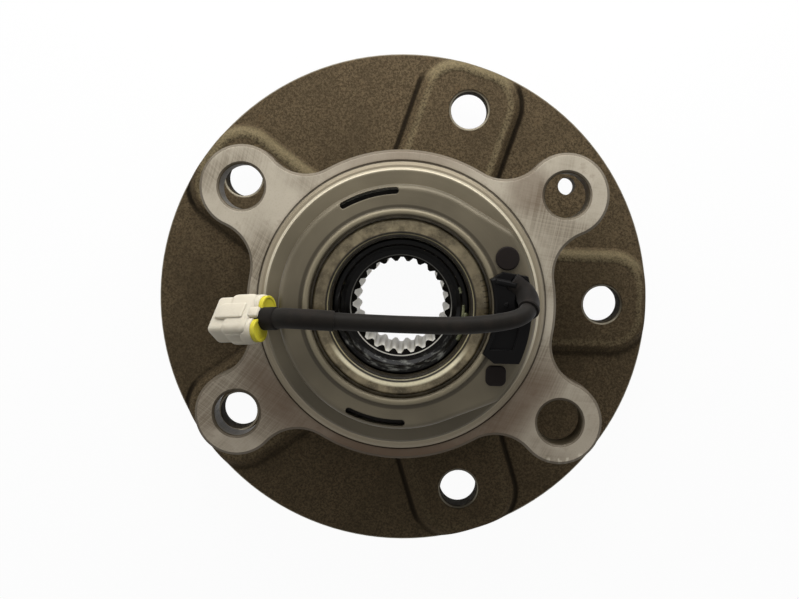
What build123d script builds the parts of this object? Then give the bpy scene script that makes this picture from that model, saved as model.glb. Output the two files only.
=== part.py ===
"""Driven wheel hub bearing unit with a wheel speed sensor.

The origin is the centre of the wheel mounting face, on the spin axis. +Z points inboard, to the
knuckle, and +X and +Y lie along the sides of the knuckle bolt rectangle. All sizes are millimetres.
"""

import os
from math import acos, atan2, cos, degrees, hypot, pi, radians, sin, sqrt, tan

from build123d import *

# ---------------------------------------------------------------- driving dimensions

# Wheel flange of the hub
wheel_flange_diameter = 140.0
wheel_flange_thickness = 8.8
lobe_height = 2.2
lobe_foot_width = 30.6
lobe_foot_corner = 11.5
lobe_foot_overhang = 1.2
lobe_side_shift = 0.9
lobe_root_depth = 0.8
lobe_rim_inset = 0.2
lobe_draft = 43.0
lobe_edge_radius = 1.1
wheel_bolt_circle = 114.3
wheel_bolt_count = 5
wheel_bolt_hole = 10.5
wheel_face_hole_chamfer = 0.4
hole_chamfer = 0.7
disc_screw_hole = 5.0
flange_chamfer = 0.8

# Pilots, cup and nut seat on the outboard side
disc_pilot_diameter = 68.0
disc_pilot_length = 5.0
wheel_pilot_diameter = 67.0
pilot_length = 12.0
pilot_chamfer = 1.5
cup_diameter = 54.0
cup_depth = 11.0
nut_seat_diameter = 41.0
nut_seat_height = 2.0

# Spindle and spline
spindle_diameter = 36.0
spindle_end_height = 47.0
spindle_wall = 1.6
spline_teeth = 24
spline_major_diameter = 25.7
spline_minor_diameter = 23.6
spline_top_height = 42.5
spline_chamfer = 0.45
seal_land_diameter = 55.6
seal_land_fillet = 2.6

# Ball rows
ball_diameter = 10.32
ball_count = 14
ball_pitch_diameter = 56.6
outboard_row_height = 20.6
row_spacing = 13.4
groove_clearance = 0.19
hub_shoulder_diameter = 48.8
outer_shoulder_diameter = 61.8
outer_race_depth = 0.35

# Inner ring
inner_ring_shoulder_diameter = 52.0
inner_ring_front_diameter = 47.8
inner_ring_nose_diameter = 46.4
inner_ring_height = 51.0
inner_ring_shoulder_height = 48.6
inner_ring_split_height = 27.3
inner_ring_corner = 1.0

# Outer ring and knuckle flange
outer_ring_outboard_height = 10.0
outer_ring_body_diameter = 79.0
seal_bore_diameter = 68.0
seal_bore_depth = 4.6
knuckle_face_height = 41.0
knuckle_flange_thickness = 11.5
knuckle_flange_diameter = 82.8
knuckle_bolt_spacing_x = 86.8
knuckle_bolt_spacing_y = 60.8
knuckle_bolt_hole = 12.0
ear_radius = 11.3
ear_blend_radius = 11.5
ear_chamfer = 0.7
knuckle_pilot_diameter = 76.2
knuckle_pilot_length = 3.0
knuckle_pilot_chamfer = 0.8
relief_width = 0.6
relief_undercut = 0.2
relief_depth = 0.6
cap_seat_diameter = 72.5
cap_seat_depth = 1.4

# Cages
cage_inner_diameter = 56.4
cage_outer_diameter = 61.2
cage_web = 1.25
cage_finger = 2.0
pocket_clearance = 0.15

# Seals and encoder
seal_sheet = 0.6
seal_gap = 0.25
outboard_seal_depth = 3.6
inboard_seal_depth = 1.9
encoder_sheet = 0.6
encoder_ring_thickness = 1.0
encoder_inner_diameter = 54.0
encoder_outer_diameter = 61.2
encoder_carrier_length = 7.0

# Sensor cap
cap_sheet = 0.8
cap_plateau_height = 52.0
cap_step_diameter = 64.0
cap_opening_diameter = 47.8
cap_bead_diameter = 51.6
cap_bead_height = 0.75
cap_bulge_diameter = 70.6
cap_bulge_half_angle = 39.0
cap_bulge_corner = 6.0
cap_bend_radius = 1.6
slot_circle_diameter = 60.6
slot_width = 1.7
slot_arc = 27.0
slot_upper_angle = 107.5
slot_lower_angle = -101.5

# Speed sensor
sensor_angle = -4.1
sensor_inner_radius = 24.2
sensor_outer_radius = 33.8
sensor_half_arc = 19.6
sensor_inner_half_arc = 23.5
sensor_corner_radius = 28.0
sensor_corner_half_arc = 25.0
sensor_low_height = 3.4
sensor_high_height = 5.5
sensor_step_offset = -0.6
sensor_ridge_angle = -9.9
sensor_far_ledge_depth = 1.3
sensor_edge = 0.5
sensor_tip_gap = 0.9
sensor_tip_margin_angle = 4.0
sensor_window_margin = 1.6
sensor_recess_depth = 1.2
sensor_recess_inner_wall = 1.0
sensor_recess_outer_wall = 2.9
sensor_recess_low = -10.1
sensor_recess_high = -1.4
sensor_rib_length = 5.6
sensor_rib_width = 1.5
sensor_rib_height = 0.8
sensor_rib_place = (26.9, 7.2)
sensor_pip_diameter = 1.1
sensor_pip_height = 0.35
sensor_pip_place = (27.1, 1.7)
window_clearance = 0.15
element_width = 4.0
element_length = 3.0
element_depth = 1.6
round_plug_diameter = 6.2
square_plug_width = 5.3
plug_circle_radius = 30.5
round_plug_angle = 26.2
square_plug_angle = -34.2
plug_head_height = 0.9
plug_shank_diameter = 3.6

# Lead
cable_diameter = 4.5
sleeve_diameter = 5.3
sleeve_clearance = 0.05
sleeve_length = 15.0
boot_diameter = 5.9
boot_lip_diameter = 6.5
boot_lip_length = 1.1
boot_run = 3.3
boot_bend_radius = 4.2
boot_root = (28.1, 7.6, 56.0)
lead_well_clearance = 0.25
cable_route = [
    (32.79, 2.49, 58.5),
    (32.99, 0.64, 61.5),
    (29.96, -1.37, 64.0),
    (23.72, -2.71, 64.5),
    (15.20, -3.70, 62.8),
    (0.46, -3.94, 60.2),
    (-12.61, -3.72, 59.4),
    (-19.35, -3.45, 59.6),
    (-25.69, -3.26, 59.7),
    (-29.33, -3.20, 58.85),
    (-31.40, -3.40, 57.65),
]

# Connector
connector_roll = 40.0
connector_length = 15.6
connector_body_width = 12.6
connector_body_start = 4.8
connector_body_corner = 2.4
connector_nose_width = 10.4
connector_nose_thickness = 7.4
connector_nose_length = 5.2
connector_nose_corner = 1.5
connector_wall = 1.2
collar_pitch = 7.4
collar_thickness = 7.8
seal_lobe_diameter = 6.6
seal_head_thickness = 2.2
seal_plug_diameter = 6.0
seal_waist = 7.0
seal_plug_length = 2.2
boot_collar_diameter = 6.0
rear_boot_length = 5.1
socket_depth = 9.0
terminal_pitch = 4.2
terminal_width = 1.8
terminal_thickness = 0.6
terminal_length = 9.0
terminal_tip_clearance = 2.0
latch_width = 4.4
latch_height = 1.0
latch_start = 5.6
latch_length = 7.6
rib_width = 1.2
rib_height = 0.5
rib_pitch = 3.4
retainer_thickness = 1.0

# ---------------------------------------------------------------- shared values

ball_radius = ball_diameter / 2
pitch_radius = ball_pitch_diameter / 2
groove_radius = ball_radius + groove_clearance
inboard_row_height = outboard_row_height + row_spacing
lobe_top_height = wheel_flange_thickness + lobe_height
wheel_bolt_radius = wheel_bolt_circle / 2
knuckle_pilot_height = knuckle_face_height + knuckle_pilot_length
cap_flange_top = knuckle_pilot_height + cap_sheet
seal_land_radius = seal_land_diameter / 2
body_radius = outer_ring_body_diameter / 2
rotor_gap = 1.0


def groove_side(radius):
    """Axial distance from a ball row's centre to the groove edge at this radius."""
    return sqrt(groove_radius**2 - (radius - pitch_radius) ** 2)


def polar(radius, angle):
    """Point at this radius and angle in degrees."""
    return (radius * cos(radians(angle)), radius * sin(radians(angle)))


# ---------------------------------------------------------------- wheel hub

hub_groove_bottom = pitch_radius - groove_radius
hub_shoulder_radius = hub_shoulder_diameter / 2
spindle_radius = spindle_diameter / 2
spline_minor_radius = spline_minor_diameter / 2
spline_major_radius = spline_major_diameter / 2
spline_lead_in = spline_major_radius + spline_chamfer
recess_radius = spindle_radius - spindle_wall
recess_floor_radius = (recess_radius + spline_lead_in) / 2
flange_radius = wheel_flange_diameter / 2
disc_pilot_radius = disc_pilot_diameter / 2
wheel_pilot_radius = wheel_pilot_diameter / 2
lobe_inner_radius = body_radius + rotor_gap

# The lobe's root lies inside the flange, so its sloped sides leave the flange's top at the foot width.
lobe_root_spread = lobe_root_depth * tan(radians(lobe_draft))
lobe_root_half_width = lobe_foot_width / 2 + lobe_root_spread
lobe_root_end = flange_radius + lobe_foot_overhang + lobe_root_spread

with BuildPart(mode=Mode.PRIVATE) as lobe:
    with BuildSketch(Plane.XY.offset(wheel_flange_thickness - lobe_root_depth)) as lobe_sketch:
        with Locations((0, lobe_side_shift)):
            Rectangle(lobe_root_end, 2 * lobe_root_half_width, align=(Align.MIN, Align.CENTER))
        fillet(lobe_sketch.vertices().group_by(Axis.X)[-1], radius=lobe_foot_corner + lobe_root_spread)
    extrude(amount=lobe_root_depth + lobe_height, taper=lobe_draft)
    lobe_rim = lobe.faces().sort_by(Axis.Z)[-1].edges()
    fillet(lobe_rim, radius=lobe_edge_radius)
    Cylinder(
        flange_radius - lobe_rim_inset,
        lobe_top_height,
        align=(Align.CENTER, Align.CENTER, Align.MIN),
        mode=Mode.INTERSECT,
    )
    Cylinder(
        lobe_inner_radius,
        lobe_top_height,
        align=(Align.CENTER, Align.CENTER, Align.MIN),
        mode=Mode.SUBTRACT,
    )

# Space between two spline teeth, wider towards the axis
half_space_minor = pi * spline_minor_radius / spline_teeth * 0.76
half_space_major = pi * spline_major_radius / spline_teeth * 0.26
with BuildSketch(mode=Mode.PRIVATE) as tooth_space_sketch:
    with BuildLine():
        Polyline(
            (spline_minor_radius - 0.6, -half_space_minor),
            (spline_minor_radius, -half_space_minor),
            (spline_major_radius, -half_space_major),
            (spline_major_radius, half_space_major),
            (spline_minor_radius, half_space_minor),
            (spline_minor_radius - 0.6, half_space_minor),
            close=True,
        )
    make_face()

# Chamfered mouths of a wheel bolt hole, one in the wheel face and one on top of the lobe
with BuildPart(mode=Mode.PRIVATE) as face_mouth:
    Cone(
        wheel_bolt_hole / 2 + wheel_face_hole_chamfer,
        wheel_bolt_hole / 2,
        wheel_face_hole_chamfer,
        align=(Align.CENTER, Align.CENTER, Align.MIN),
    )
with BuildPart(mode=Mode.PRIVATE) as lobe_mouth:
    Cone(
        wheel_bolt_hole / 2,
        wheel_bolt_hole / 2 + hole_chamfer,
        hole_chamfer,
        align=(Align.CENTER, Align.CENTER, Align.MAX),
    )

with BuildPart() as wheel_hub:
    with BuildSketch(Plane.XZ):
        with BuildLine():
            Polyline(
                (spline_minor_radius, nut_seat_height + spline_lead_in - spline_minor_radius),
                (spline_lead_in, nut_seat_height),
                (nut_seat_diameter / 2, nut_seat_height),
                (nut_seat_diameter / 2, -1.0),
                (cup_diameter / 2, cup_depth - pilot_length - 2.0),
                (cup_diameter / 2, -pilot_length + 0.8),
                (cup_diameter / 2 + 0.8, -pilot_length),
                (wheel_pilot_radius - pilot_chamfer, -pilot_length),
                (wheel_pilot_radius, -pilot_length + pilot_chamfer),
                (wheel_pilot_radius, -disc_pilot_length - 0.5),
                (disc_pilot_radius, -disc_pilot_length),
                (disc_pilot_radius, 0),
                (flange_radius - flange_chamfer, 0),
                (flange_radius, flange_chamfer),
                (flange_radius, wheel_flange_thickness - flange_chamfer / 2),
                (flange_radius - flange_chamfer / 2, wheel_flange_thickness),
                (seal_land_radius + seal_land_fillet, wheel_flange_thickness),
            )
            RadiusArc(
                (seal_land_radius + seal_land_fillet, wheel_flange_thickness),
                (seal_land_radius, wheel_flange_thickness + seal_land_fillet),
                seal_land_fillet,
            )
            Line(
                (seal_land_radius, wheel_flange_thickness + seal_land_fillet),
                (seal_land_radius, outboard_row_height - groove_side(seal_land_radius)),
            )
            ThreePointArc(
                (seal_land_radius, outboard_row_height - groove_side(seal_land_radius)),
                (hub_groove_bottom, outboard_row_height),
                (hub_shoulder_radius, outboard_row_height + groove_side(hub_shoulder_radius)),
            )
            Polyline(
                (hub_shoulder_radius, outboard_row_height + groove_side(hub_shoulder_radius)),
                (hub_shoulder_radius, inner_ring_split_height),
                (spindle_radius, inner_ring_split_height),
                (spindle_radius, spindle_end_height - 0.5),
                (spindle_radius - 0.5, spindle_end_height),
                (recess_radius, spindle_end_height),
                (recess_radius - 0.5, spline_top_height + 0.8),
                (recess_floor_radius, spline_top_height),
                (spline_lead_in, spline_top_height),
                (spline_minor_radius, spline_top_height - spline_lead_in + spline_minor_radius),
                (spline_minor_radius, nut_seat_height + spline_lead_in - spline_minor_radius),
            )
        make_face()
    revolve(axis=Axis.Z)
    # Raised lobes that carry the wheel bolts
    with PolarLocations(0, wheel_bolt_count):
        add(lobe.part)
    # Wheel bolt and brake disc screw holes
    with PolarLocations(wheel_bolt_radius, wheel_bolt_count):
        with Locations(Plane.XY.offset(lobe_top_height)):
            Hole(wheel_bolt_hole / 2)
            add(lobe_mouth.part, mode=Mode.SUBTRACT)
        add(face_mouth.part, mode=Mode.SUBTRACT)
    with PolarLocations(wheel_bolt_radius, 1, start_angle=180 / wheel_bolt_count):
        with Locations(Plane.XY.offset(wheel_flange_thickness)):
            Hole(disc_screw_hole / 2)
    # Spline
    with BuildSketch(Plane.XY.offset(nut_seat_height - 1)):
        with PolarLocations(0, spline_teeth):
            add(tooth_space_sketch.sketch)
    extrude(amount=spline_top_height - nut_seat_height + 2, mode=Mode.SUBTRACT)
wheel_hub.part.label = "wheel_hub"
export_step(wheel_hub.part, "parts/wheel_hub.step")

# ---------------------------------------------------------------- outer ring

outer_groove_bottom = pitch_radius + groove_radius
outer_race_radius = outer_groove_bottom + outer_race_depth
outer_shoulder_radius = outer_shoulder_diameter / 2
seal_bore_radius = seal_bore_diameter / 2
knuckle_pilot_radius = knuckle_pilot_diameter / 2
cap_seat_radius = cap_seat_diameter / 2
flange_body_radius = knuckle_flange_diameter / 2
ear_x = knuckle_bolt_spacing_x / 2
ear_y = knuckle_bolt_spacing_y / 2
ear_distance = hypot(ear_x, ear_y)
ear_angle = degrees(atan2(ear_y, ear_x))

# The concave arc between an ear and the round body touches both circles.
blend_from_axis = flange_body_radius + ear_blend_radius
blend_from_ear = ear_radius + ear_blend_radius
blend_swing = degrees(
    acos((ear_distance**2 + blend_from_axis**2 - blend_from_ear**2) / (2 * ear_distance * blend_from_axis))
)


def blend_points(side):
    """Foot, middle and ear end of the concave arc beside the ear that lies on +X."""
    centre = Vector(*polar(blend_from_axis, side * blend_swing))
    ear = Vector(ear_distance, 0)
    foot = centre * (flange_body_radius / blend_from_axis)
    tip = ear + (centre - ear) * (ear_radius / blend_from_ear)
    toward = ((foot + tip) * 0.5 - centre).normalized()
    return foot, centre + toward * ear_blend_radius, tip


with BuildSketch(mode=Mode.PRIVATE) as ear_sketch:
    with BuildLine():
        low_foot, low_middle, low_tip = blend_points(-1)
        high_foot, high_middle, high_tip = blend_points(1)
        ThreePointArc(low_foot, low_middle, low_tip)
        ThreePointArc(low_tip, (ear_distance + ear_radius, 0), high_tip)
        ThreePointArc(high_tip, high_middle, high_foot)
        Polyline(high_foot, (0, 0), low_foot)
    make_face()

# Chamfer that widens both faces of a knuckle bolt hole
with BuildPart(mode=Mode.PRIVATE) as knuckle_mouth:
    Cone(
        knuckle_bolt_hole / 2,
        knuckle_bolt_hole / 2 + hole_chamfer,
        hole_chamfer,
        align=(Align.CENTER, Align.CENTER, Align.MAX),
    )
    Cone(
        knuckle_bolt_hole / 2 + hole_chamfer,
        knuckle_bolt_hole / 2,
        hole_chamfer,
        align=(Align.CENTER, Align.CENTER, Align.MIN),
    )

with BuildPart() as outer_ring:
    with BuildSketch(Plane.XY.offset(knuckle_face_height - knuckle_flange_thickness)):
        Circle(flange_body_radius)
        for angle in (ear_angle, 180 - ear_angle, 180 + ear_angle, -ear_angle):
            with Locations(Rotation(0, 0, angle)):
                add(ear_sketch.sketch)
    extrude(amount=knuckle_flange_thickness)
    ear_rims = outer_ring.faces().filter_by(Axis.Z).edges()
    chamfer(ear_rims, ear_chamfer)
    # Body below the flange and pilot above it
    with BuildSketch(Plane.XZ):
        with BuildLine():
            Polyline(
                (0, outer_ring_outboard_height),
                (body_radius - 1.0, outer_ring_outboard_height),
                (body_radius, outer_ring_outboard_height + 1.0),
                (body_radius, knuckle_face_height - relief_depth),
                (knuckle_pilot_radius, knuckle_face_height - relief_depth),
                (knuckle_pilot_radius, knuckle_pilot_height - knuckle_pilot_chamfer),
                (knuckle_pilot_radius - knuckle_pilot_chamfer, knuckle_pilot_height),
                (0, knuckle_pilot_height),
                close=True,
            )
        make_face()
    revolve(axis=Axis.Z)
    # Undercut at the foot of the pilot, with a sloped inner wall
    with BuildSketch(Plane.XZ):
        with BuildLine():
            Polyline(
                (knuckle_pilot_radius, knuckle_face_height),
                (knuckle_pilot_radius - relief_undercut, knuckle_face_height - relief_depth),
                (knuckle_pilot_radius + relief_width, knuckle_face_height - relief_depth),
                (knuckle_pilot_radius + relief_width, knuckle_face_height),
                close=True,
            )
        make_face()
    revolve(axis=Axis.Z, mode=Mode.SUBTRACT)
    # Bore with both races, the seal seats and the cap seat
    with BuildSketch(Plane.XZ):
        with BuildLine():
            outboard_edge = outboard_row_height + groove_side(outer_shoulder_radius)
            inboard_edge = inboard_row_height - groove_side(outer_shoulder_radius)
            bore_step = outer_ring_outboard_height + seal_bore_depth
            Polyline(
                (0, outer_ring_outboard_height),
                (seal_bore_radius + 0.5, outer_ring_outboard_height),
                (seal_bore_radius, outer_ring_outboard_height + 0.5),
                (seal_bore_radius, bore_step),
                (outer_groove_bottom, bore_step + seal_bore_radius - outer_groove_bottom),
                (outer_groove_bottom, outboard_row_height),
            )
            RadiusArc(
                (outer_groove_bottom, outboard_row_height), (outer_shoulder_radius, outboard_edge), -groove_radius
            )
            Line((outer_shoulder_radius, outboard_edge), (outer_shoulder_radius, inboard_edge))
            RadiusArc(
                (outer_shoulder_radius, inboard_edge), (outer_groove_bottom, inboard_row_height), -groove_radius
            )
            Polyline(
                (outer_groove_bottom, inboard_row_height),
                (outer_groove_bottom, inboard_row_height + groove_radius),
                (outer_race_radius, inboard_row_height + groove_radius + outer_race_depth),
                (outer_race_radius, knuckle_pilot_height - cap_seat_depth),
                (cap_seat_radius, knuckle_pilot_height - cap_seat_depth),
                (cap_seat_radius, knuckle_pilot_height),
                (0, knuckle_pilot_height),
                (0, outer_ring_outboard_height),
            )
        make_face()
    revolve(axis=Axis.Z, mode=Mode.SUBTRACT)
    with Locations(Plane.XY.offset(knuckle_face_height)):
        with GridLocations(knuckle_bolt_spacing_x, knuckle_bolt_spacing_y, 2, 2):
            Hole(knuckle_bolt_hole / 2)
            with Locations((0, 0, 0), (0, 0, -knuckle_flange_thickness)):
                add(knuckle_mouth.part, mode=Mode.SUBTRACT)
outer_ring.part.label = "outer_ring"
export_step(outer_ring.part, "parts/outer_ring.step")

# ---------------------------------------------------------------- inner ring

inner_groove_bottom = pitch_radius - groove_radius
inner_front_radius = inner_ring_front_diameter / 2
inner_shoulder_radius = inner_ring_shoulder_diameter / 2
inner_nose_radius = inner_ring_nose_diameter / 2

with BuildPart() as inner_ring:
    with BuildSketch(Plane.XZ):
        with BuildLine():
            Polyline(
                (spindle_radius, inner_ring_split_height + 1.0),
                (spindle_radius + 1.0, inner_ring_split_height),
                (inner_front_radius - 0.5, inner_ring_split_height),
                (inner_front_radius, inner_ring_split_height + 0.5),
                (inner_front_radius, inboard_row_height - groove_side(inner_front_radius)),
            )
            ThreePointArc(
                (inner_front_radius, inboard_row_height - groove_side(inner_front_radius)),
                (inner_groove_bottom, inboard_row_height),
                (inner_shoulder_radius, inboard_row_height + groove_side(inner_shoulder_radius)),
            )
            Polyline(
                (inner_shoulder_radius, inboard_row_height + groove_side(inner_shoulder_radius)),
                (inner_shoulder_radius, inner_ring_shoulder_height - 0.4),
                (inner_shoulder_radius - 0.4, inner_ring_shoulder_height),
                (inner_nose_radius, inner_ring_shoulder_height),
                (inner_nose_radius, inner_ring_height - inner_ring_corner),
            )
            RadiusArc(
                (inner_nose_radius, inner_ring_height - inner_ring_corner),
                (inner_nose_radius - inner_ring_corner, inner_ring_height),
                -inner_ring_corner,
            )
            Polyline(
                (inner_nose_radius - inner_ring_corner, inner_ring_height),
                (spindle_radius + 1.4, inner_ring_height),
                (spindle_radius + 1.0, inner_ring_height - 0.3),
                (spindle_radius + 0.5, inner_ring_height - 0.5),
                (spindle_radius, inner_ring_height - 1.2),
                (spindle_radius, inner_ring_split_height + 1.0),
            )
        make_face()
    revolve(axis=Axis.Z)
inner_ring.part.label = "inner_ring"
export_step(inner_ring.part, "parts/inner_ring.step")

# ---------------------------------------------------------------- balls and cages

with BuildPart() as outboard_balls:
    with Locations((0, 0, outboard_row_height)):
        with PolarLocations(pitch_radius, ball_count):
            Sphere(ball_radius)
outboard_balls.part.label = "outboard_balls"
export_step(outboard_balls.part, "parts/outboard_balls.step")

with BuildPart() as inboard_balls:
    with Locations((0, 0, inboard_row_height)):
        with PolarLocations(pitch_radius, ball_count):
            Sphere(ball_radius)
inboard_balls.part.label = "inboard_balls"
export_step(inboard_balls.part, "parts/inboard_balls.step")

cage_back = ball_radius + cage_web
cage_length = cage_back + cage_finger
pocket_radius = ball_radius + pocket_clearance

with BuildPart() as outboard_cage:
    with BuildSketch(Plane.XY.offset(outboard_row_height - cage_back)):
        Circle(cage_outer_diameter / 2)
        Circle(cage_inner_diameter / 2, mode=Mode.SUBTRACT)
    extrude(amount=cage_length)
    with Locations((0, 0, outboard_row_height)):
        with PolarLocations(0, ball_count):
            Cylinder(
                pocket_radius,
                cage_outer_diameter,
                rotation=(0, 90, 0),
                align=(Align.CENTER, Align.CENTER, Align.MIN),
                mode=Mode.SUBTRACT,
            )
outboard_cage.part.label = "outboard_cage"
export_step(outboard_cage.part, "parts/outboard_cage.step")

with BuildPart() as inboard_cage:
    with BuildSketch(Plane.XY.offset(inboard_row_height - cage_finger)):
        Circle(cage_outer_diameter / 2)
        Circle(cage_inner_diameter / 2, mode=Mode.SUBTRACT)
    extrude(amount=cage_length)
    with Locations((0, 0, inboard_row_height)):
        with PolarLocations(0, ball_count):
            Cylinder(
                pocket_radius,
                cage_outer_diameter,
                rotation=(0, 90, 0),
                align=(Align.CENTER, Align.CENTER, Align.MIN),
                mode=Mode.SUBTRACT,
            )
inboard_cage.part.label = "inboard_cage"
export_step(inboard_cage.part, "parts/inboard_cage.step")

# ---------------------------------------------------------------- outboard seal

outboard_seal_low = outer_ring_outboard_height + 0.3
outboard_seal_high = outboard_seal_low + outboard_seal_depth
outboard_lip_radius = seal_land_radius + seal_gap
seal_case_radius = seal_bore_radius - seal_sheet

with BuildPart() as outboard_seal_case:
    with BuildSketch(Plane.XZ):
        with BuildLine():
            Polyline(
                (seal_bore_radius, outboard_seal_low),
                (seal_bore_radius, outboard_seal_high),
                (outboard_lip_radius + 2.6, outboard_seal_high),
                (outboard_lip_radius + 2.6, outboard_seal_high - seal_sheet),
                (seal_case_radius, outboard_seal_high - seal_sheet),
                (seal_case_radius, outboard_seal_low),
                close=True,
            )
        make_face()
    revolve(axis=Axis.Z)
outboard_seal_case.part.label = "outboard_seal_case"
export_step(outboard_seal_case.part, "parts/outboard_seal_case.step")

with BuildPart() as outboard_seal_lip:
    with BuildSketch(Plane.XZ):
        with BuildLine():
            lip_back = outboard_seal_high - seal_sheet
            Polyline(
                (seal_case_radius, lip_back),
                (outboard_lip_radius + 2.0, lip_back),
                (outboard_lip_radius, lip_back - 0.5),
                (outboard_lip_radius, lip_back - 1.0),
                (outboard_lip_radius + 2.0, lip_back - 1.0),
                (outboard_lip_radius + 3.2, wheel_flange_thickness + seal_gap),
                (outboard_lip_radius + 3.8, wheel_flange_thickness + seal_gap),
                (outboard_lip_radius + 3.4, lip_back - 1.1),
                (seal_case_radius, lip_back - 1.1),
                close=True,
            )
        make_face()
    revolve(axis=Axis.Z)
outboard_seal_lip.part.label = "outboard_seal_lip"
export_step(outboard_seal_lip.part, "parts/outboard_seal_lip.step")

# ---------------------------------------------------------------- encoder and inboard seal

encoder_bore = inner_shoulder_radius + encoder_sheet
encoder_outer_radius = encoder_outer_diameter / 2
carrier_top = inner_ring_shoulder_height - 0.2

with BuildPart() as encoder_carrier:
    with BuildSketch(Plane.XZ):
        with BuildLine():
            Polyline(
                (inner_shoulder_radius, carrier_top - encoder_carrier_length),
                (encoder_bore, carrier_top - encoder_carrier_length),
                (encoder_bore, carrier_top - encoder_sheet),
                (encoder_outer_radius, carrier_top - encoder_sheet),
                (encoder_outer_radius, carrier_top),
                (inner_shoulder_radius, carrier_top),
                close=True,
            )
        make_face()
    revolve(axis=Axis.Z)
encoder_carrier.part.label = "encoder_carrier"
export_step(encoder_carrier.part, "parts/encoder_carrier.step")

with BuildPart() as encoder_ring:
    with BuildSketch(Plane.XY.offset(carrier_top)):
        Circle(encoder_outer_radius)
        Circle(encoder_inner_diameter / 2, mode=Mode.SUBTRACT)
    extrude(amount=encoder_ring_thickness)
encoder_ring.part.label = "encoder_ring"
export_step(encoder_ring.part, "parts/encoder_ring.step")

inboard_seal_high = knuckle_pilot_height - cap_seat_depth
inboard_seal_low = inboard_seal_high - inboard_seal_depth
inboard_lip_radius = encoder_bore + seal_gap
inboard_case_radius = outer_race_radius - seal_sheet

with BuildPart() as inboard_seal_case:
    with BuildSketch(Plane.XZ):
        with BuildLine():
            Polyline(
                (outer_race_radius, inboard_seal_low),
                (outer_race_radius, inboard_seal_high),
                (inboard_lip_radius + 2.8, inboard_seal_high),
                (inboard_lip_radius + 2.8, inboard_seal_high - seal_sheet),
                (inboard_case_radius, inboard_seal_high - seal_sheet),
                (inboard_case_radius, inboard_seal_low),
                close=True,
            )
        make_face()
    revolve(axis=Axis.Z)
inboard_seal_case.part.label = "inboard_seal_case"
export_step(inboard_seal_case.part, "parts/inboard_seal_case.step")

with BuildPart() as inboard_seal_lip:
    with BuildSketch(Plane.XZ):
        with BuildLine():
            inboard_back = inboard_seal_high - seal_sheet
            Polyline(
                (inboard_case_radius, inboard_back),
                (inboard_lip_radius + 1.6, inboard_back),
                (inboard_lip_radius, inboard_back + 0.7),
                (inboard_lip_radius, inboard_back + 0.2),
                (inboard_lip_radius + 1.0, inboard_back - 0.7),
                (inboard_case_radius, inboard_back - 0.7),
                close=True,
            )
        make_face()
    revolve(axis=Axis.Z)
inboard_seal_lip.part.label = "inboard_seal_lip"
export_step(inboard_seal_lip.part, "parts/inboard_seal_lip.step")

# ---------------------------------------------------------------- sensor cap

cap_step_radius = cap_step_diameter / 2
cap_bulge_radius = cap_bulge_diameter / 2
cap_opening_radius = cap_opening_diameter / 2
cap_bead_radius = cap_bead_diameter / 2
cap_bead_top = cap_plateau_height + cap_bead_height
cap_underside = cap_plateau_height - cap_sheet

# The bulge's straight sides leave its corners and touch the round plateau.
bulge_tangent_angle = cap_bulge_half_angle + degrees(acos(cap_step_radius / cap_bulge_radius))

with BuildSketch(mode=Mode.PRIVATE) as plateau_sketch:
    Circle(cap_step_radius)
    with BuildLine():
        bulge_rim = CenterArc(
            (0, 0), cap_bulge_radius, sensor_angle - cap_bulge_half_angle, 2 * cap_bulge_half_angle
        )
        Polyline(
            bulge_rim @ 1,
            polar(cap_step_radius, sensor_angle + bulge_tangent_angle),
            (0, 0),
            polar(cap_step_radius, sensor_angle - bulge_tangent_angle),
            bulge_rim @ 0,
        )
    make_face()
    bulge_corners = plateau_sketch.vertices().group_by(
        lambda v: round(hypot(v.X, v.Y), 3)
    )[-1]
    fillet(bulge_corners, radius=cap_bulge_corner)

# Outline of the sensor seen along the axis
with BuildSketch(mode=Mode.PRIVATE) as sensor_sketch:
    with BuildLine():
        outer_side = CenterArc((0, 0), sensor_outer_radius, sensor_angle - sensor_half_arc, 2 * sensor_half_arc)
        inner_side = CenterArc(
            (0, 0), sensor_inner_radius, sensor_angle - sensor_inner_half_arc, 2 * sensor_inner_half_arc
        )
        Polyline(
            outer_side @ 1, polar(sensor_corner_radius, sensor_angle + sensor_corner_half_arc), inner_side @ 1
        )
        Polyline(
            outer_side @ 0, polar(sensor_corner_radius, sensor_angle - sensor_corner_half_arc), inner_side @ 0
        )
    make_face()

tip_half_arc = sensor_half_arc - sensor_tip_margin_angle
with BuildSketch(mode=Mode.PRIVATE) as tip_sketch:
    with BuildLine():
        tip_outer = CenterArc(
            (0, 0),
            sensor_outer_radius - sensor_window_margin,
            sensor_angle - tip_half_arc,
            2 * tip_half_arc,
        )
        tip_inner = CenterArc(
            (0, 0),
            cap_bead_radius + 0.4,
            sensor_angle - tip_half_arc,
            2 * tip_half_arc,
        )
        Line(tip_outer @ 0, tip_inner @ 0)
        Line(tip_outer @ 1, tip_inner @ 1)
    make_face()

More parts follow.
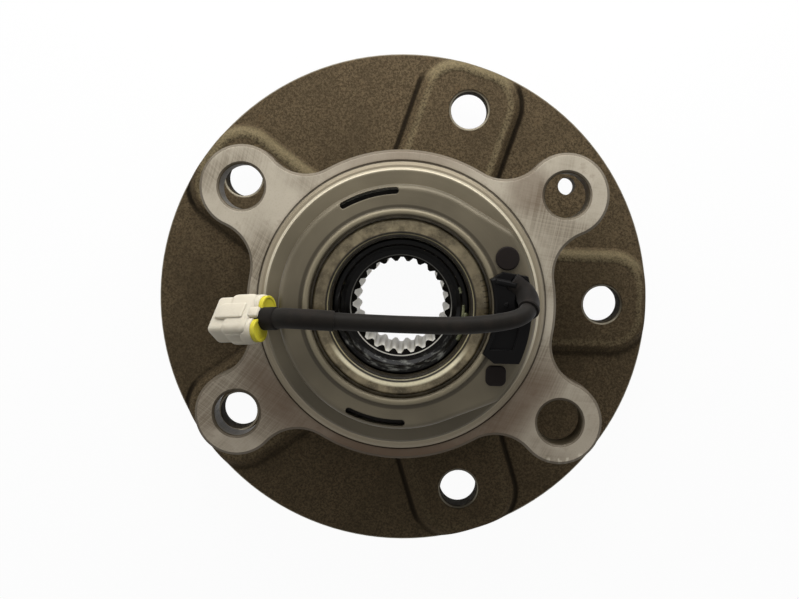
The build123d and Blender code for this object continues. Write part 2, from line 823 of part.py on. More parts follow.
with BuildPart() as sensor_cap:
    # Skirt pressed into the outer ring, and the flat rim above it
    with BuildSketch(Plane.XZ):
        with BuildLine():
            skirt_low = knuckle_pilot_height - cap_seat_depth
            Polyline(
                (0, knuckle_pilot_height),
                (cap_seat_radius - cap_sheet, knuckle_pilot_height),
                (cap_seat_radius - cap_sheet, skirt_low),
                (cap_seat_radius, skirt_low),
                (cap_seat_radius, cap_flange_top - 0.5),
                (cap_seat_radius - 0.5, cap_flange_top),
                (0, cap_flange_top),
                close=True,
            )
        make_face()
    revolve(axis=Axis.Z)
    # Raised plateau with its bulge over the sensor
    with BuildSketch(Plane.XY.offset(knuckle_pilot_height)):
        add(plateau_sketch.sketch)
    extrude(amount=cap_plateau_height - knuckle_pilot_height)
    plateau_rim = sensor_cap.faces().filter_by(Axis.Z).sort_by(Axis.Z)[-1].edges()
    fillet(plateau_rim, radius=cap_bend_radius)
    with BuildSketch(Plane.XY.offset(knuckle_pilot_height)) as hollow_sketch:
        add(plateau_sketch.sketch)
        offset(amount=-cap_sheet, mode=Mode.REPLACE)
    extrude(amount=cap_underside - knuckle_pilot_height, mode=Mode.SUBTRACT)
    with BuildSketch(Plane.XY.offset(knuckle_pilot_height)):
        Circle(cap_opening_radius)
    extrude(amount=cap_plateau_height - knuckle_pilot_height, mode=Mode.SUBTRACT)
    # Rolled bead round the opening
    with BuildSketch(Plane.XZ):
        with BuildLine():
            ThreePointArc(
                (cap_opening_radius, cap_plateau_height),
                ((cap_opening_radius + cap_bead_radius) / 2, cap_bead_top),
                (cap_bead_radius, cap_plateau_height),
            )
            Polyline(
                (cap_bead_radius, cap_plateau_height),
                (cap_bead_radius, cap_underside),
                (cap_opening_radius, cap_underside),
                (cap_opening_radius, cap_plateau_height),
            )
        make_face()
    revolve(axis=Axis.Z)
    # Window for the sensor, the two drain slots and the two plug holes
    with BuildSketch(Plane.XY.offset(cap_underside)):
        add(tip_sketch.sketch)
        offset(amount=window_clearance, mode=Mode.REPLACE)
        for slot_angle in (slot_upper_angle, slot_lower_angle):
            slot_path = CenterArc(
                (0, 0), slot_circle_diameter / 2, slot_angle - slot_arc / 2, slot_arc, mode=Mode.PRIVATE
            )
            SlotArc(slot_path, slot_width)
        with Locations(polar(plug_circle_radius, round_plug_angle), polar(plug_circle_radius, square_plug_angle)):
            Circle(plug_shank_diameter / 2)
    extrude(amount=cap_sheet, mode=Mode.SUBTRACT)
sensor_cap.part.label = "sensor_cap"
export_step(sensor_cap.part, "parts/sensor_cap.step")

# ---------------------------------------------------------------- speed sensor

sensor_base = cap_bead_top
sensor_low_top = sensor_base + sensor_low_height
sensor_high_top = sensor_base + sensor_high_height
sensor_tip_height = carrier_top + encoder_ring_thickness + sensor_tip_gap
element_radius = (encoder_inner_diameter / 2 + encoder_outer_radius) / 2

cable_points = [Vector(*point) for point in cable_route]
exit_direction = (cable_points[1] - cable_points[0]).normalized()
boot_corner = cable_points[0] - exit_direction * boot_run
with BuildLine() as boot_path:
    FilletPolyline(Vector(*boot_root), boot_corner, cable_points[0], radius=boot_bend_radius)
boot_wire = boot_path.wire()

with BuildPart() as sensor_boot:
    with BuildSketch(Plane(origin=boot_wire @ 0, z_dir=boot_wire % 0)):
        Circle(boot_diameter / 2)
    sweep(path=boot_wire)
    with BuildSketch(Plane(origin=cable_points[0], z_dir=exit_direction)):
        Circle(boot_lip_diameter / 2)
    extrude(amount=-boot_lip_length)
    lip_rim = sensor_boot.faces().sort_by(Axis(tuple(cable_points[0]), tuple(exit_direction)))[-1].edges()
    fillet(lip_rim, radius=boot_lip_length * 0.3)
sensor_boot.part.label = "sensor_boot"
export_step(sensor_boot.part, "parts/sensor_boot.step")

with BuildPart() as sensor_element:
    with Locations(Rotation(0, 0, sensor_angle)):
        with Locations((element_radius, 0, sensor_tip_height)):
            Box(
                element_length, element_width, element_depth, align=(Align.CENTER, Align.CENTER, Align.MIN)
            )
sensor_element.part.label = "sensor_element"
export_step(sensor_element.part, "parts/sensor_element.step")

with BuildPart() as sensor_body:
    with BuildSketch(Plane.XY.offset(sensor_base)):
        add(sensor_sketch.sketch)
    extrude(amount=sensor_low_height)
    # Higher end that carries the boot, up to its far ledge and then up to the ridge
    with BuildSketch(Plane.XY.offset(sensor_base)):
        add(sensor_sketch.sketch)
        with Locations((sensor_inner_radius, sensor_step_offset)):
            Rectangle(
                2 * sensor_outer_radius,
                sensor_outer_radius,
                align=(Align.CENTER, Align.MIN),
                mode=Mode.INTERSECT,
            )
    extrude(amount=sensor_high_height - sensor_far_ledge_depth)
    with BuildSketch(Plane.XY.offset(sensor_base)):
        add(sensor_sketch.sketch)
        with Locations((sensor_inner_radius, sensor_step_offset)):
            Rectangle(
                2 * sensor_outer_radius,
                sensor_outer_radius,
                align=(Align.CENTER, Align.MIN),
                mode=Mode.INTERSECT,
            )
        with Locations(Location(sensor_rib_place, sensor_ridge_angle)):
            with Locations((0, sensor_rib_width / 2)):
                Rectangle(
                    2 * sensor_outer_radius,
                    sensor_outer_radius,
                    align=(Align.CENTER, Align.MAX),
                    mode=Mode.INTERSECT,
                )
    extrude(amount=sensor_high_height)
    high_rims = sensor_body.faces().filter_by(Axis.Z).sort_by(Axis.Z)[-1].edges()
    chamfer(high_rims, sensor_edge)
    # Rounded rib along the ridge, and a moulded pip
    with Locations(Location((*sensor_rib_place, sensor_high_top), (0, 0, sensor_ridge_angle))):
        Box(sensor_rib_length, sensor_rib_width, 2 * sensor_rib_height)
    rib_rims = sensor_body.faces().filter_by(Axis.Z).sort_by(Axis.Z)[-1].edges()
    fillet(rib_rims, radius=sensor_rib_height * 0.7)
    with Locations((*sensor_pip_place, sensor_high_top)):
        Cylinder(sensor_pip_diameter / 2, 2 * sensor_pip_height)
    # Seat beside the cap's bead
    with BuildSketch(Plane.XY.offset(cap_plateau_height)):
        add(sensor_sketch.sketch)
        Circle(cap_bead_radius + window_clearance, mode=Mode.SUBTRACT)
    extrude(amount=sensor_base - cap_plateau_height)
    # Tip that reaches down through the cap to the encoder
    with BuildSketch(Plane.XY.offset(sensor_tip_height)):
        add(tip_sketch.sketch)
    extrude(amount=sensor_base - sensor_tip_height)
    # Sink in the lower end
    with BuildSketch(Plane.XY.offset(sensor_low_top)):
        Circle(sensor_outer_radius - sensor_recess_outer_wall)
        Circle(sensor_inner_radius + sensor_recess_inner_wall, mode=Mode.SUBTRACT)
        with Locations((sensor_inner_radius, sensor_recess_low)):
            Rectangle(
                sensor_outer_radius,
                sensor_recess_high - sensor_recess_low,
                align=(Align.CENTER, Align.MIN),
                mode=Mode.INTERSECT,
            )
    extrude(amount=-sensor_recess_depth, mode=Mode.SUBTRACT)
    add(sensor_boot.part, mode=Mode.SUBTRACT)
    with BuildSketch(Plane(origin=cable_points[0] - exit_direction * boot_run, z_dir=exit_direction)):
        Circle(boot_lip_diameter / 2 + lead_well_clearance)
    extrude(amount=2 * boot_run, mode=Mode.SUBTRACT)
    add(sensor_element.part, mode=Mode.SUBTRACT)
sensor_body.part.label = "sensor_body"
export_step(sensor_body.part, "parts/sensor_body.step")

with BuildPart() as sensor_plugs:
    with BuildSketch(Plane.XY.offset(cap_plateau_height)):
        with Locations(polar(plug_circle_radius, round_plug_angle)):
            Circle(round_plug_diameter / 2)
        with Locations(polar(plug_circle_radius, square_plug_angle)):
            RectangleRounded(square_plug_width, square_plug_width, square_plug_width * 0.3)
    extrude(amount=plug_head_height)
    head_rims = sensor_plugs.faces().filter_by(Axis.Z).group_by(Axis.Z)[-1].edges()
    fillet(head_rims, radius=plug_head_height * 0.4)
    with BuildSketch(Plane.XY.offset(cap_underside - plug_head_height)):
        with Locations(polar(plug_circle_radius, round_plug_angle), polar(plug_circle_radius, square_plug_angle)):
            Circle(plug_shank_diameter / 2)
    extrude(amount=plug_head_height + cap_sheet)
sensor_plugs.part.label = "sensor_plugs"
export_step(sensor_plugs.part, "parts/sensor_plugs.step")

# ---------------------------------------------------------------- lead


def corner_radii(points):
    """Largest tangent arc at each inner point: 0.45 of the shorter run over the tangent of half the turn."""
    radii = []
    for before, corner, after in zip(points, points[1:], points[2:]):
        turn = radians((corner - before).get_angle(after - corner))
        shorter = min((corner - before).length, (after - corner).length)
        radii.append(0.45 * shorter / tan(turn / 2))
    return radii


cable_radii = corner_radii(cable_points)
with BuildLine() as cable_path:
    FilletPolyline(*cable_points, radius=cable_radii)
cable_wire = cable_path.wire()
print("cable radii", [round(r, 1) for r in cable_radii])
print("cable length", round(cable_wire.length, 1))

with BuildPart() as cable:
    with BuildSketch(Plane(origin=cable_wire @ 0, z_dir=cable_wire % 0)):
        Circle(cable_diameter / 2)
    sweep(path=cable_wire)
cable.part.label = "cable"
export_step(cable.part, "parts/cable.step")
print("cable volume", round(cable.part.volume, 1), "expected", round(pi * cable_diameter**2 / 4 * cable_wire.length, 1))

sleeve_wire = cable_wire.trim(1 - sleeve_length / cable_wire.length, 1)
with BuildPart() as cable_sleeve:
    with BuildSketch(Plane(origin=sleeve_wire @ 0, z_dir=sleeve_wire % 0)):
        Circle(sleeve_diameter / 2)
        Circle(cable_diameter / 2 + sleeve_clearance, mode=Mode.SUBTRACT)
    sweep(path=sleeve_wire)
cable_sleeve.part.label = "cable_sleeve"
export_step(cable_sleeve.part, "parts/cable_sleeve.step")

# ---------------------------------------------------------------- connector

lead_direction = (cable_points[-1] - cable_points[-2]).normalized()
level_side = Vector(0, 0, 1).cross(lead_direction).normalized()
connector_side = level_side.rotate(Axis((0, 0, 0), tuple(lead_direction)), connector_roll)


def connector_plane(distance):
    """Plane across the connector at this distance from the seal's rear face, local X along the wide side."""
    origin = cable_points[-1] + lead_direction * (rear_boot_length + distance)
    return Plane(origin=origin, x_dir=connector_side, z_dir=lead_direction)


seal_plug_end = seal_head_thickness + seal_plug_length
nose_start = connector_length - connector_nose_length
socket_floor = connector_length - socket_depth
cavity_width = connector_nose_width - 2 * connector_wall
cavity_thickness = connector_nose_thickness - 2 * connector_wall
connector_end = connector_plane(connector_length).origin
print("connector end", connector_end, "direction", lead_direction)

with BuildPart() as connector_boot:
    with BuildSketch(connector_plane(-rear_boot_length)):
        Circle(boot_collar_diameter / 2)
    extrude(amount=rear_boot_length + seal_plug_end)
    boot_edges = connector_boot.edges().filter_by(GeomType.CIRCLE).sort_by(Axis.X)[-1]
    fillet(boot_edges, radius=0.6)
connector_boot.part.label = "connector_boot"
export_step(connector_boot.part, "parts/connector_boot.step")

with BuildPart() as connector_seal:
    with BuildSketch(connector_plane(0)):
        with GridLocations(collar_pitch, 1, 2, 1):
            Circle(seal_lobe_diameter / 2)
        Circle(seal_waist / 2)
    extrude(amount=seal_head_thickness)
    head_rims = connector_seal.faces().sort_by(Axis(tuple(cable_points[-1]), tuple(lead_direction)))[0].edges()
    fillet(head_rims, radius=seal_head_thickness * 0.3)
    with BuildSketch(connector_plane(seal_head_thickness)):
        with GridLocations(collar_pitch, 1, 2, 1):
            Circle(seal_plug_diameter / 2)
        Circle(seal_waist / 2)
    extrude(amount=seal_plug_length)
    with BuildSketch(connector_plane(0)):
        Circle(boot_collar_diameter / 2)
    extrude(amount=seal_plug_end, mode=Mode.SUBTRACT)
connector_seal.part.label = "connector_seal"
export_step(connector_seal.part, "parts/connector_seal.step")

with BuildPart() as connector_housing:
    with BuildSketch(connector_plane(seal_head_thickness)):
        SlotCenterToCenter(collar_pitch, collar_thickness)
    extrude(amount=connector_body_start - seal_head_thickness)
    with BuildSketch(connector_plane(connector_body_start)):
        RectangleRounded(connector_body_width, collar_thickness, connector_body_corner)
    extrude(amount=nose_start - connector_body_start)
    with BuildSketch(connector_plane(nose_start)):
        RectangleRounded(connector_nose_width, connector_nose_thickness, connector_nose_corner)
    extrude(amount=connector_nose_length)
    # Latch bar on the upper wide side, and ribs on both narrow sides
    with BuildSketch(connector_plane(latch_start)):
        with Locations((0, collar_thickness / 2)):
            Rectangle(latch_width, 2 * latch_height)
    extrude(amount=latch_length)
    with BuildSketch(connector_plane(connector_body_start)):
        with GridLocations(connector_body_width, rib_pitch, 2, 2):
            Rectangle(2 * rib_height, rib_width)
    extrude(amount=nose_start - connector_body_start)
    # Seal seat at the rear and mating socket at the front
    add(connector_seal.part, mode=Mode.SUBTRACT)
    add(connector_boot.part, mode=Mode.SUBTRACT)
    with BuildSketch(connector_plane(socket_floor)):
        RectangleRounded(cavity_width, cavity_thickness, connector_nose_corner * 0.5)
    extrude(amount=socket_depth, mode=Mode.SUBTRACT)
    with BuildSketch(connector_plane(seal_plug_end)):
        with GridLocations(terminal_pitch, 1, 2, 1):
            Rectangle(terminal_width, terminal_thickness)
    extrude(amount=socket_floor - seal_plug_end, mode=Mode.SUBTRACT)
connector_housing.part.label = "connector_housing"
export_step(connector_housing.part, "parts/connector_housing.step")

with BuildPart() as connector_terminals:
    with BuildSketch(connector_plane(seal_plug_end)):
        with GridLocations(terminal_pitch, 1, 2, 1):
            Rectangle(terminal_width, terminal_thickness)
    extrude(amount=socket_floor - seal_plug_end + terminal_length - terminal_tip_clearance)
connector_terminals.part.label = "connector_terminals"
export_step(connector_terminals.part, "parts/connector_terminals.step")

with BuildPart() as connector_retainer:
    with BuildSketch(connector_plane(socket_floor)):
        RectangleRounded(cavity_width, cavity_thickness, connector_nose_corner * 0.5)
        with GridLocations(terminal_pitch, 1, 2, 1):
            Rectangle(terminal_width, terminal_thickness, mode=Mode.SUBTRACT)
    extrude(amount=retainer_thickness)
connector_retainer.part.label = "connector_retainer"
export_step(connector_retainer.part, "parts/connector_retainer.step")
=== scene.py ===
"""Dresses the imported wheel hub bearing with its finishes, its soft lead, the lights and the camera.

Everything is in metres in the frame of the solids: the origin is the centre of the wheel face, +Z points
to the knuckle, and the unit lies on its wheel pilot. Patterns are worked out in millimetres on Object
coordinates, so a finish follows its piece when the hub turns.
"""

from __future__ import annotations

import logging
import math
from dataclasses import dataclass
from enum import Enum
from itertools import pairwise
from typing import Callable, Sequence, Union

import bpy
from mathutils import Matrix, Quaternion, Vector


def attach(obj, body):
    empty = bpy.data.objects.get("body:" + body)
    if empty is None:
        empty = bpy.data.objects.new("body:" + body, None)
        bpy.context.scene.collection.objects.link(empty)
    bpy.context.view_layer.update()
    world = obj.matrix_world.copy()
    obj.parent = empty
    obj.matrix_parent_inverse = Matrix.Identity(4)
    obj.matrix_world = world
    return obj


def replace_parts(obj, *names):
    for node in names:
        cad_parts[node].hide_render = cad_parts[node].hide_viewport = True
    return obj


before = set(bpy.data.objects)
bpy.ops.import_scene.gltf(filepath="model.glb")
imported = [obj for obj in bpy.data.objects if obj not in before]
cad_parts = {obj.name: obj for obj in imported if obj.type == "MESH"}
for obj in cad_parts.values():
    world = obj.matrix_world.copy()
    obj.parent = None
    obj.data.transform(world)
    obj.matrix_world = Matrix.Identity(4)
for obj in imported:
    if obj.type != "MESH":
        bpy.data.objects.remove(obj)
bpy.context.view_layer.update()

log = logging.getLogger("hub_bearing")

MM = 0.001

Colour = tuple[float, float, float]
Point = tuple[float, float, float]
Number = Union[int, float]
Settings = dict[str, object]
Inputs = dict[Union[int, str], object]

UP = Vector((0.0, 0.0, 1.0))
WHITE_LIGHT = (1.0, 1.0, 1.0, 1.0)


# Shader maths


def maths(operation: str, swapped: bool = False) -> Callable[..., Sig]:
    """A method of Sig that adds a Math node of this operation, with its inputs in order or swapped."""

    def apply(*values: Sig | Number) -> Sig:
        """Adds the node."""
        inputs = reversed(values) if swapped else values
        return values[0].graph.out("ShaderNodeMath", {"operation": operation}, dict(enumerate(inputs)))

    return apply


class Sig:
    """A shader socket that takes part in Python arithmetic."""

    __add__, __radd__ = maths("ADD"), maths("ADD", swapped=True)
    __sub__, __rsub__ = maths("SUBTRACT"), maths("SUBTRACT", swapped=True)
    __mul__, __rmul__ = maths("MULTIPLY"), maths("MULTIPLY", swapped=True)
    __truediv__, __pow__, __abs__ = maths("DIVIDE"), maths("POWER"), maths("ABSOLUTE")
    high, sine, cosine, whole = maths("MAXIMUM"), maths("SINE"), maths("COSINE"), maths("ROUND")
    angle_from = maths("ARCTAN2")

    def __init__(self, graph: Graph, socket: bpy.types.NodeSocket) -> None:
        """Wraps an output socket of the graph that carries a number or a vector."""
        self.graph = graph
        self.socket = socket

    def reach(self, other: Sig) -> Sig:
        """Distance covered by two steps at right angles."""
        return (self * self + other * other) ** 0.5

    def rise(self, start: float, end: float) -> Sig:
        """Smooth step from 0 at start to 1 at end, or down where end is the smaller."""
        settings = {"interpolation_type": "SMOOTHSTEP", "clamp": True}
        low, high, first, last = (start, end, 0.0, 1.0) if start < end else (end, start, 1.0, 0.0)
        values = {"Value": self, "From Min": low, "From Max": high, "To Min": first, "To Max": last}
        return self.graph.out("ShaderNodeMapRange", settings, values)

    def band(self, centre: float, half: float, soft: float) -> Sig:
        """1 within half of centre, and 0 past a soft edge of this width."""
        return abs(self - centre).rise(half + soft, half)


class Graph:
    """The node tree of one material or world."""

    def __init__(self, owner: bpy.types.Material | bpy.types.World) -> None:
        """Starts the new material or world from an empty tree."""
        self.owner = owner
        owner.use_nodes = True
        self.tree = owner.node_tree
        self.tree.nodes.clear()

    @classmethod
    def paint(cls, name: str) -> Graph:
        """Starts a new material of this name."""
        return cls(bpy.data.materials.new(name))

    def node(
        self, kind: str, settings: Settings | None = None, values: Inputs | None = None
    ) -> bpy.types.Node:
        """Adds a node of this type, sets its properties, and then fills or links its inputs."""
        made = self.tree.nodes.new(kind)
        for key, value in (settings or {}).items():
            setattr(made, key, value)
        for key, value in (values or {}).items():
            if isinstance(value, Sig):
                self.tree.links.new(value.socket, made.inputs[key])
            else:
                made.inputs[key].default_value = value
        return made

    def out(
        self, kind: str, settings: Settings | None = None, values: Inputs | None = None, output: int | str = 0
    ) -> Sig:
        """Adds a node and returns one of its outputs."""
        return Sig(self, self.node(kind, settings, values).outputs[output])

    def parts(self, vector: Sig) -> tuple[Sig, Sig, Sig]:
        """X, Y and Z of a vector."""
        made = self.node("ShaderNodeSeparateXYZ", values={0: vector})
        return Sig(self, made.outputs[0]), Sig(self, made.outputs[1]), Sig(self, made.outputs[2])

    def survey(self) -> tuple[Sig, Sig, Sig, Sig, Sig, Sig]:
        """Object coordinates in millimetres as a vector, x, y, z, the radius about Z and the angle."""
        raw = self.out("ShaderNodeTexCoord", output="Object")
        at = self.out("ShaderNodeVectorMath", {"operation": "SCALE"}, {0: raw, "Scale": 1.0 / MM})
        x, y, z = self.parts(at)
        return at, x, y, z, x.reach(y), y.angle_from(x)

    def facing_up(self) -> Sig:
        """How far the surface faces along Z, in the piece's coordinates."""
        return self.parts(self.out("ShaderNodeTexCoord", output="Normal"))[2]

    def noise(self, at: Sig, size: float, detail: float = 3.0, rough: float = 0.55) -> Sig:
        """Cloudy noise of about this size in millimetres, 0 to 1 about 0.5."""
        values = {"Vector": at, "Scale": 1.0 / size, "Detail": detail, "Roughness": rough}
        return self.out("ShaderNodeTexNoise", {"noise_dimensions": "3D"}, values)

    def streaks(
        self, x: Sig | Number, y: Sig | Number, z: Sig | Number, detail: float = 2.0, rough: float = 0.5
    ) -> Sig:
        """Noise drawn out by how fast each of its three inputs grows."""
        at = self.out("ShaderNodeCombineXYZ", values={0: x, 1: y, 2: z})
        return self.noise(at, 1.0, detail, rough)

    def cells(self, at: Sig, size: float) -> Sig:
        """Distance to the nearest of scattered points, one per cell of this size."""
        values = {"Vector": at, "Scale": 1.0 / size}
        return self.out("ShaderNodeTexVoronoi", {"feature": "F1"}, values)

    def mix(self, share: Sig | Number, first: Sig | Colour, second: Sig | Colour) -> Sig:
        """A colour that goes from first to second as share goes from 0 to 1."""
        values = {
            0: share,
            6: first if isinstance(first, Sig) else (*first, 1.0),
            7: second if isinstance(second, Sig) else (*second, 1.0),
        }
        return self.out("ShaderNodeMix", {"data_type": "RGBA", "clamp_factor": True}, values, 2)

    def coats(self, colour: Sig, *coats: tuple[Sig, Sig | Colour]) -> Sig:
        """Lays colours over a first one in order, each with the mask that it shows by."""
        for share, over in coats:
            colour = self.mix(share, colour, over)
        return colour

    def relief(self, edges: float, *layers: tuple[Sig, float]) -> Sig:
        """Lays reliefs over one another, each a height from 0 to 1 and its depth in millimetres.

        Args:
            edges: the radius that edges are broken to first, in millimetres, or 0 for none.
            layers: the reliefs.

        Returns:
            The bent normal.
        """
        under: Inputs = {}
        if edges:
            under["Normal"] = self.out("ShaderNodeBevel", {"samples": 6}, {"Radius": edges * MM})
        for height, depth in layers:
            values = {"Height": height, "Distance": depth * MM, "Strength": 1.0, **under}
            under = {"Normal": self.out("ShaderNodeBump", None, values)}
        return under["Normal"]

    def surface(
        self, colour: Sig, rough: Sig, metal: Sig | float, normal: Sig, more: Inputs | None = None
    ) -> bpy.types.Material:
        """Ends the tree in one shader.

        Args:
            colour: base colour.
            rough: roughness.
            metal: 0 for plastic and rubber, 1 for bare metal.
            normal: relief.
            more: other sockets of the shader by name, such as an oil film's coat.

        Returns:
            The finished material.
        """
        main = {"Base Color": colour, "Roughness": rough, "Metallic": metal, "Normal": normal}
        self.finish(self.out("ShaderNodeBsdfPrincipled", None, main | (more or {})))
        return self.owner

    def finish(self, shader: Sig) -> None:
        """Ends the tree in this shader."""
        owner = "World" if isinstance(self.owner, bpy.types.World) else "Material"
        self.node(f"ShaderNodeOutput{owner}", None, {0: shader})

    def seen_white(self) -> Sig:
        """1 for the rays that show the white background, 0 for those that only light."""
        path = self.node("ShaderNodeLightPath")
        names = ("Is Camera Ray", "Is Glossy Ray", "Is Transmission Ray")
        camera, glossy, clear = (Sig(self, path.outputs[name]) for name in names)
        return camera.high(glossy).high(clear)


def light(grey: float) -> float:
    """Linear value of a display value from 0 to 255."""
    share = grey / 255.0
    return share / 12.92 if share <= 0.04045 else ((share + 0.055) / 1.055) ** 2.4


def shade(red: float, green: float, blue: float) -> Colour:
    """Linear colour of a display colour from 0 to 255."""
    return light(red), light(green), light(blue)


def dimmed(colour: Colour, share: float) -> Colour:
    """A colour with this share of its light."""
    red, green, blue = colour
    return red * share, green * share, blue * share


def highlight_side(x: Sig, y: Sig) -> Sig:
    """1 on the side of the unit that faces the light, where turned lips get a painted highlight."""
    return y.rise(-8.0, 14.0).high(x.rise(12.0, 30.0) * y.rise(-24.0, -4.0))


# Finishes


@dataclass(frozen=True)
class ForgedHubSteel:
    """Forged and oiled flange with painted shade and highlights at its lobes, turned pilots and rim, tapped
    holes with painted shade on their walls, and an oily spindle end whose near black is partly painted shade
    of its recess.

    Sizes are in millimetres. Lines on a lobe are told by their distance out of its edge.
    """

    name: str = "forged_hub_steel"
    scale_dark: Colour = shade(61, 52, 38)
    scale_light: Colour = shade(100, 86, 65)
    rust: Colour = shade(84, 66, 46)
    # Dark of the forging's pits, also the painted shade at the lobes' feet.
    pit_and_shade_dark: Colour = shade(20, 15, 8)
    # Colour of the painted highlights on the lobes.
    crest_highlight: Colour = shade(150, 138, 106)
    turned: Colour = shade(150, 142, 124)
    spline_grey: Colour = shade(232, 228, 216)
    spline_dirt: Colour = shade(110, 104, 92)
    # Near black of the oiled recess, partly painted shade.
    oil_and_shade_black: Colour = shade(10, 8, 6)
    oil_thin: Colour = shade(44, 40, 33)
    # Painted shade on the walls of the tapped holes.
    wall: Colour = shade(54, 47, 34)
    # Colour of the painted reflections in the oiled bore.
    painted_reflection: Colour = shade(150, 150, 142)
    bolt_circle: float = 57.15
    bolt_count: int = 5
    hole_radius: float = 5.25
    lobe_half: float = 15.3
    lobe_corner: float = 11.5
    lobe_end: float = 71.2
    lobe_shift: float = 0.9
    lobe_shadow_line: float = -3.9
    lobe_inner_line: float = -3.3
    lobe_crest_line: float = -1.9
    rim_radius: float = 70.0
    turned_height: float = 0.95
    spindle_low: float = 27.0
    spindle_bore: float = 18.4
    spline_radius: float = 13.3
    low_reflection_radius: float = 15.9
    left_reflection_radius: float = 16.6
    thread_pitch: float = 1.5

    def lobe(self, radius: Sig, turn: Sig) -> tuple[Sig, Sig, Sig]:
        """Measures the nearest lobe.

        Args:
            radius: distance from the spin axis.
            turn: angle about it.

        Returns:
            The distance out of the lobe's edge, how far that edge looks to +Y, and the distance from
            the middle of the lobe's hole.
        """
        step = 2 * math.pi / self.bolt_count
        middle = (turn / step).whole() * step
        folded = turn - middle
        along, across = radius * folded.cosine(), radius * folded.sine()
        side = (abs(across - self.lobe_shift) - (self.lobe_half - self.lobe_corner)).high(0.0)
        past = (along - (self.lobe_end - self.lobe_corner)).high(0.0)
        reach = (side * side + past * past + 0.01) ** 0.5
        lean = ((across - self.lobe_shift).rise(-0.5, 0.5) * 2 - 1) * middle.cosine() * side / reach
        lean = lean + middle.sine() * past / reach
        return side.reach(past) - self.lobe_corner, lean, (along - self.bolt_circle).reach(across)

    def forged(
        self, g: Graph, at: Sig, y: Sig, edge: Sig, lean: Sig, patch: Sig, grain: Sig, pits: Sig
    ) -> Sig:
        """Forged skin, with painted shade at the lobes' feet and painted highlights along the edges that face
        the light.
        """
        broad = g.noise(at, 16.0, 3.0, 0.55)
        lit = lean.rise(0.35, 0.75) * y.rise(-12.0, 0.0)
        foot = edge.band(0.0, 0.35, 0.75) * patch.rise(0.05, 0.4) * (1 - lit)
        deep = 0.9 - abs(lean).rise(0.4, 0.8) * 0.5
        inner = edge.band(self.lobe_inner_line, 0.35, 0.9) * grain.rise(0.3, 0.65)
        return g.coats(
            g.mix(grain.rise(0.36, 0.66), self.scale_dark, self.scale_light),
            (broad.rise(0.35, 0.7) * 0.4, self.scale_dark),
            (patch.rise(0.56, 0.8) * 0.5, self.rust),
            (pits.rise(0.2, 0.05) * 0.6, self.pit_and_shade_dark),
            # Painted shade at the lobes' feet, darkest on the sides, and a painted shadow line inside the
            # edges that face the light.
            (foot * deep, self.pit_and_shade_dark),
            (edge.band(self.lobe_shadow_line, 0.2, 0.7) * lit * 0.45, self.pit_and_shade_dark),
            # Painted highlights on the crests that face the light, and along an inner line, stronger towards
            # the top.
            (edge.band(self.lobe_crest_line, 0.5, 1.2) * lit * (0.1 + grain * 0.4), self.crest_highlight),
            (inner * (0.08 + y.rise(-30.0, 10.0) * 0.22), self.crest_highlight),
        )

    def oil(self, g: Graph, x: Sig, y: Sig, z: Sig, radius: Sig, turn: Sig, wet: Sig) -> Sig:
        """Oiled bore whose near black is partly painted shade of the recess, with painted reflections along
        two arcs and a painted highlight round the spline's mouth.
        """
        runs = g.streaks(radius * 1.1, turn * 5.0, z * 0.4, 4.0, 0.7)
        low = radius.band(self.low_reflection_radius, 0.9, 0.9) * y.rise(-6.0, -13.0) * runs.rise(0.5, 0.72)
        left = radius.band(self.left_reflection_radius, 0.5, 0.6) * x.rise(-9.0, -14.0) * runs.rise(0.56, 0.75)
        mouth = radius.band(self.spline_radius + 0.15, 0.07, 0.12)
        return g.coats(
            g.mix(wet.rise(0.55, 0.8), self.oil_and_shade_black, self.oil_thin),
            # Painted reflections along arcs low down and on the left.
            (low * 0.55 + left * 0.4, self.painted_reflection),
            # Painted highlight round the spline's mouth, stronger towards the bottom.
            (mouth * (0.25 + 0.6 * y.rise(2.0, -6.0)), self.spline_grey),
        )

    def material(self) -> bpy.types.Material:
        """Builds the finish."""
        g = Graph.paint(self.name)
        at, x, y, z, radius, turn = g.survey()
        edge, lean, hole = self.lobe(radius, turn)
        patch = g.noise(at, 2.6, 5.0, 0.7)
        grain = g.noise(at, 0.6, 3.0, 0.8)
        pits = g.cells(at, 0.9)
        wet = g.noise(at, 1.4, 4.0, 0.65)
        lathe = g.streaks(radius * 14.0, z * 14.0, turn * 0.6)

        rim = radius.rise(self.rim_radius - 0.35, self.rim_radius - 0.15)
        made = z.rise(self.turned_height, self.turned_height - 0.25).high(rim)
        made = made.high(hole.rise(self.hole_radius + 0.6, self.hole_radius + 0.5))
        drilled = hole.rise(self.hole_radius + 0.15, self.hole_radius + 0.02)
        inside = z.rise(self.spindle_low, self.spindle_low + 1.0)
        inside = inside * radius.rise(self.spindle_bore, self.spindle_bore - 0.3)
        in_spline = radius.rise(self.spline_radius, self.spline_radius - 0.2)
        teeth = in_spline * (1 - g.facing_up().rise(0.2, 0.4))
        oily = inside.high(in_spline) * (1 - teeth)

        bright = g.mix(lathe.rise(0.3, 0.7), self.turned, dimmed(self.turned, 0.6))
        colour = g.coats(
            self.forged(g, at, y, edge, lean, patch, grain, pits),
            # The walls of the tapped holes take the painted shade.
            (made, g.mix(drilled, bright, self.wall)),
            # Oiled recess, darkened with painted shade.
            (oily, self.oil(g, x, y, z, radius, turn, wet)),
            (teeth, g.mix(wet.rise(0.55, 0.8) * 0.5, self.spline_grey, self.spline_dirt)),
        )
        rough_forged = 0.55 + grain * 0.25
        rough = rough_forged + (0.28 + lathe * 0.2 - rough_forged) * made.high(teeth)
        rough = rough + (0.22 + wet * 0.15 - rough) * oily
        rough = rough + (0.8 - rough) * drilled
        metal = (0.2 + 0.3 * made) * (1 - oily) * (1 - drilled)

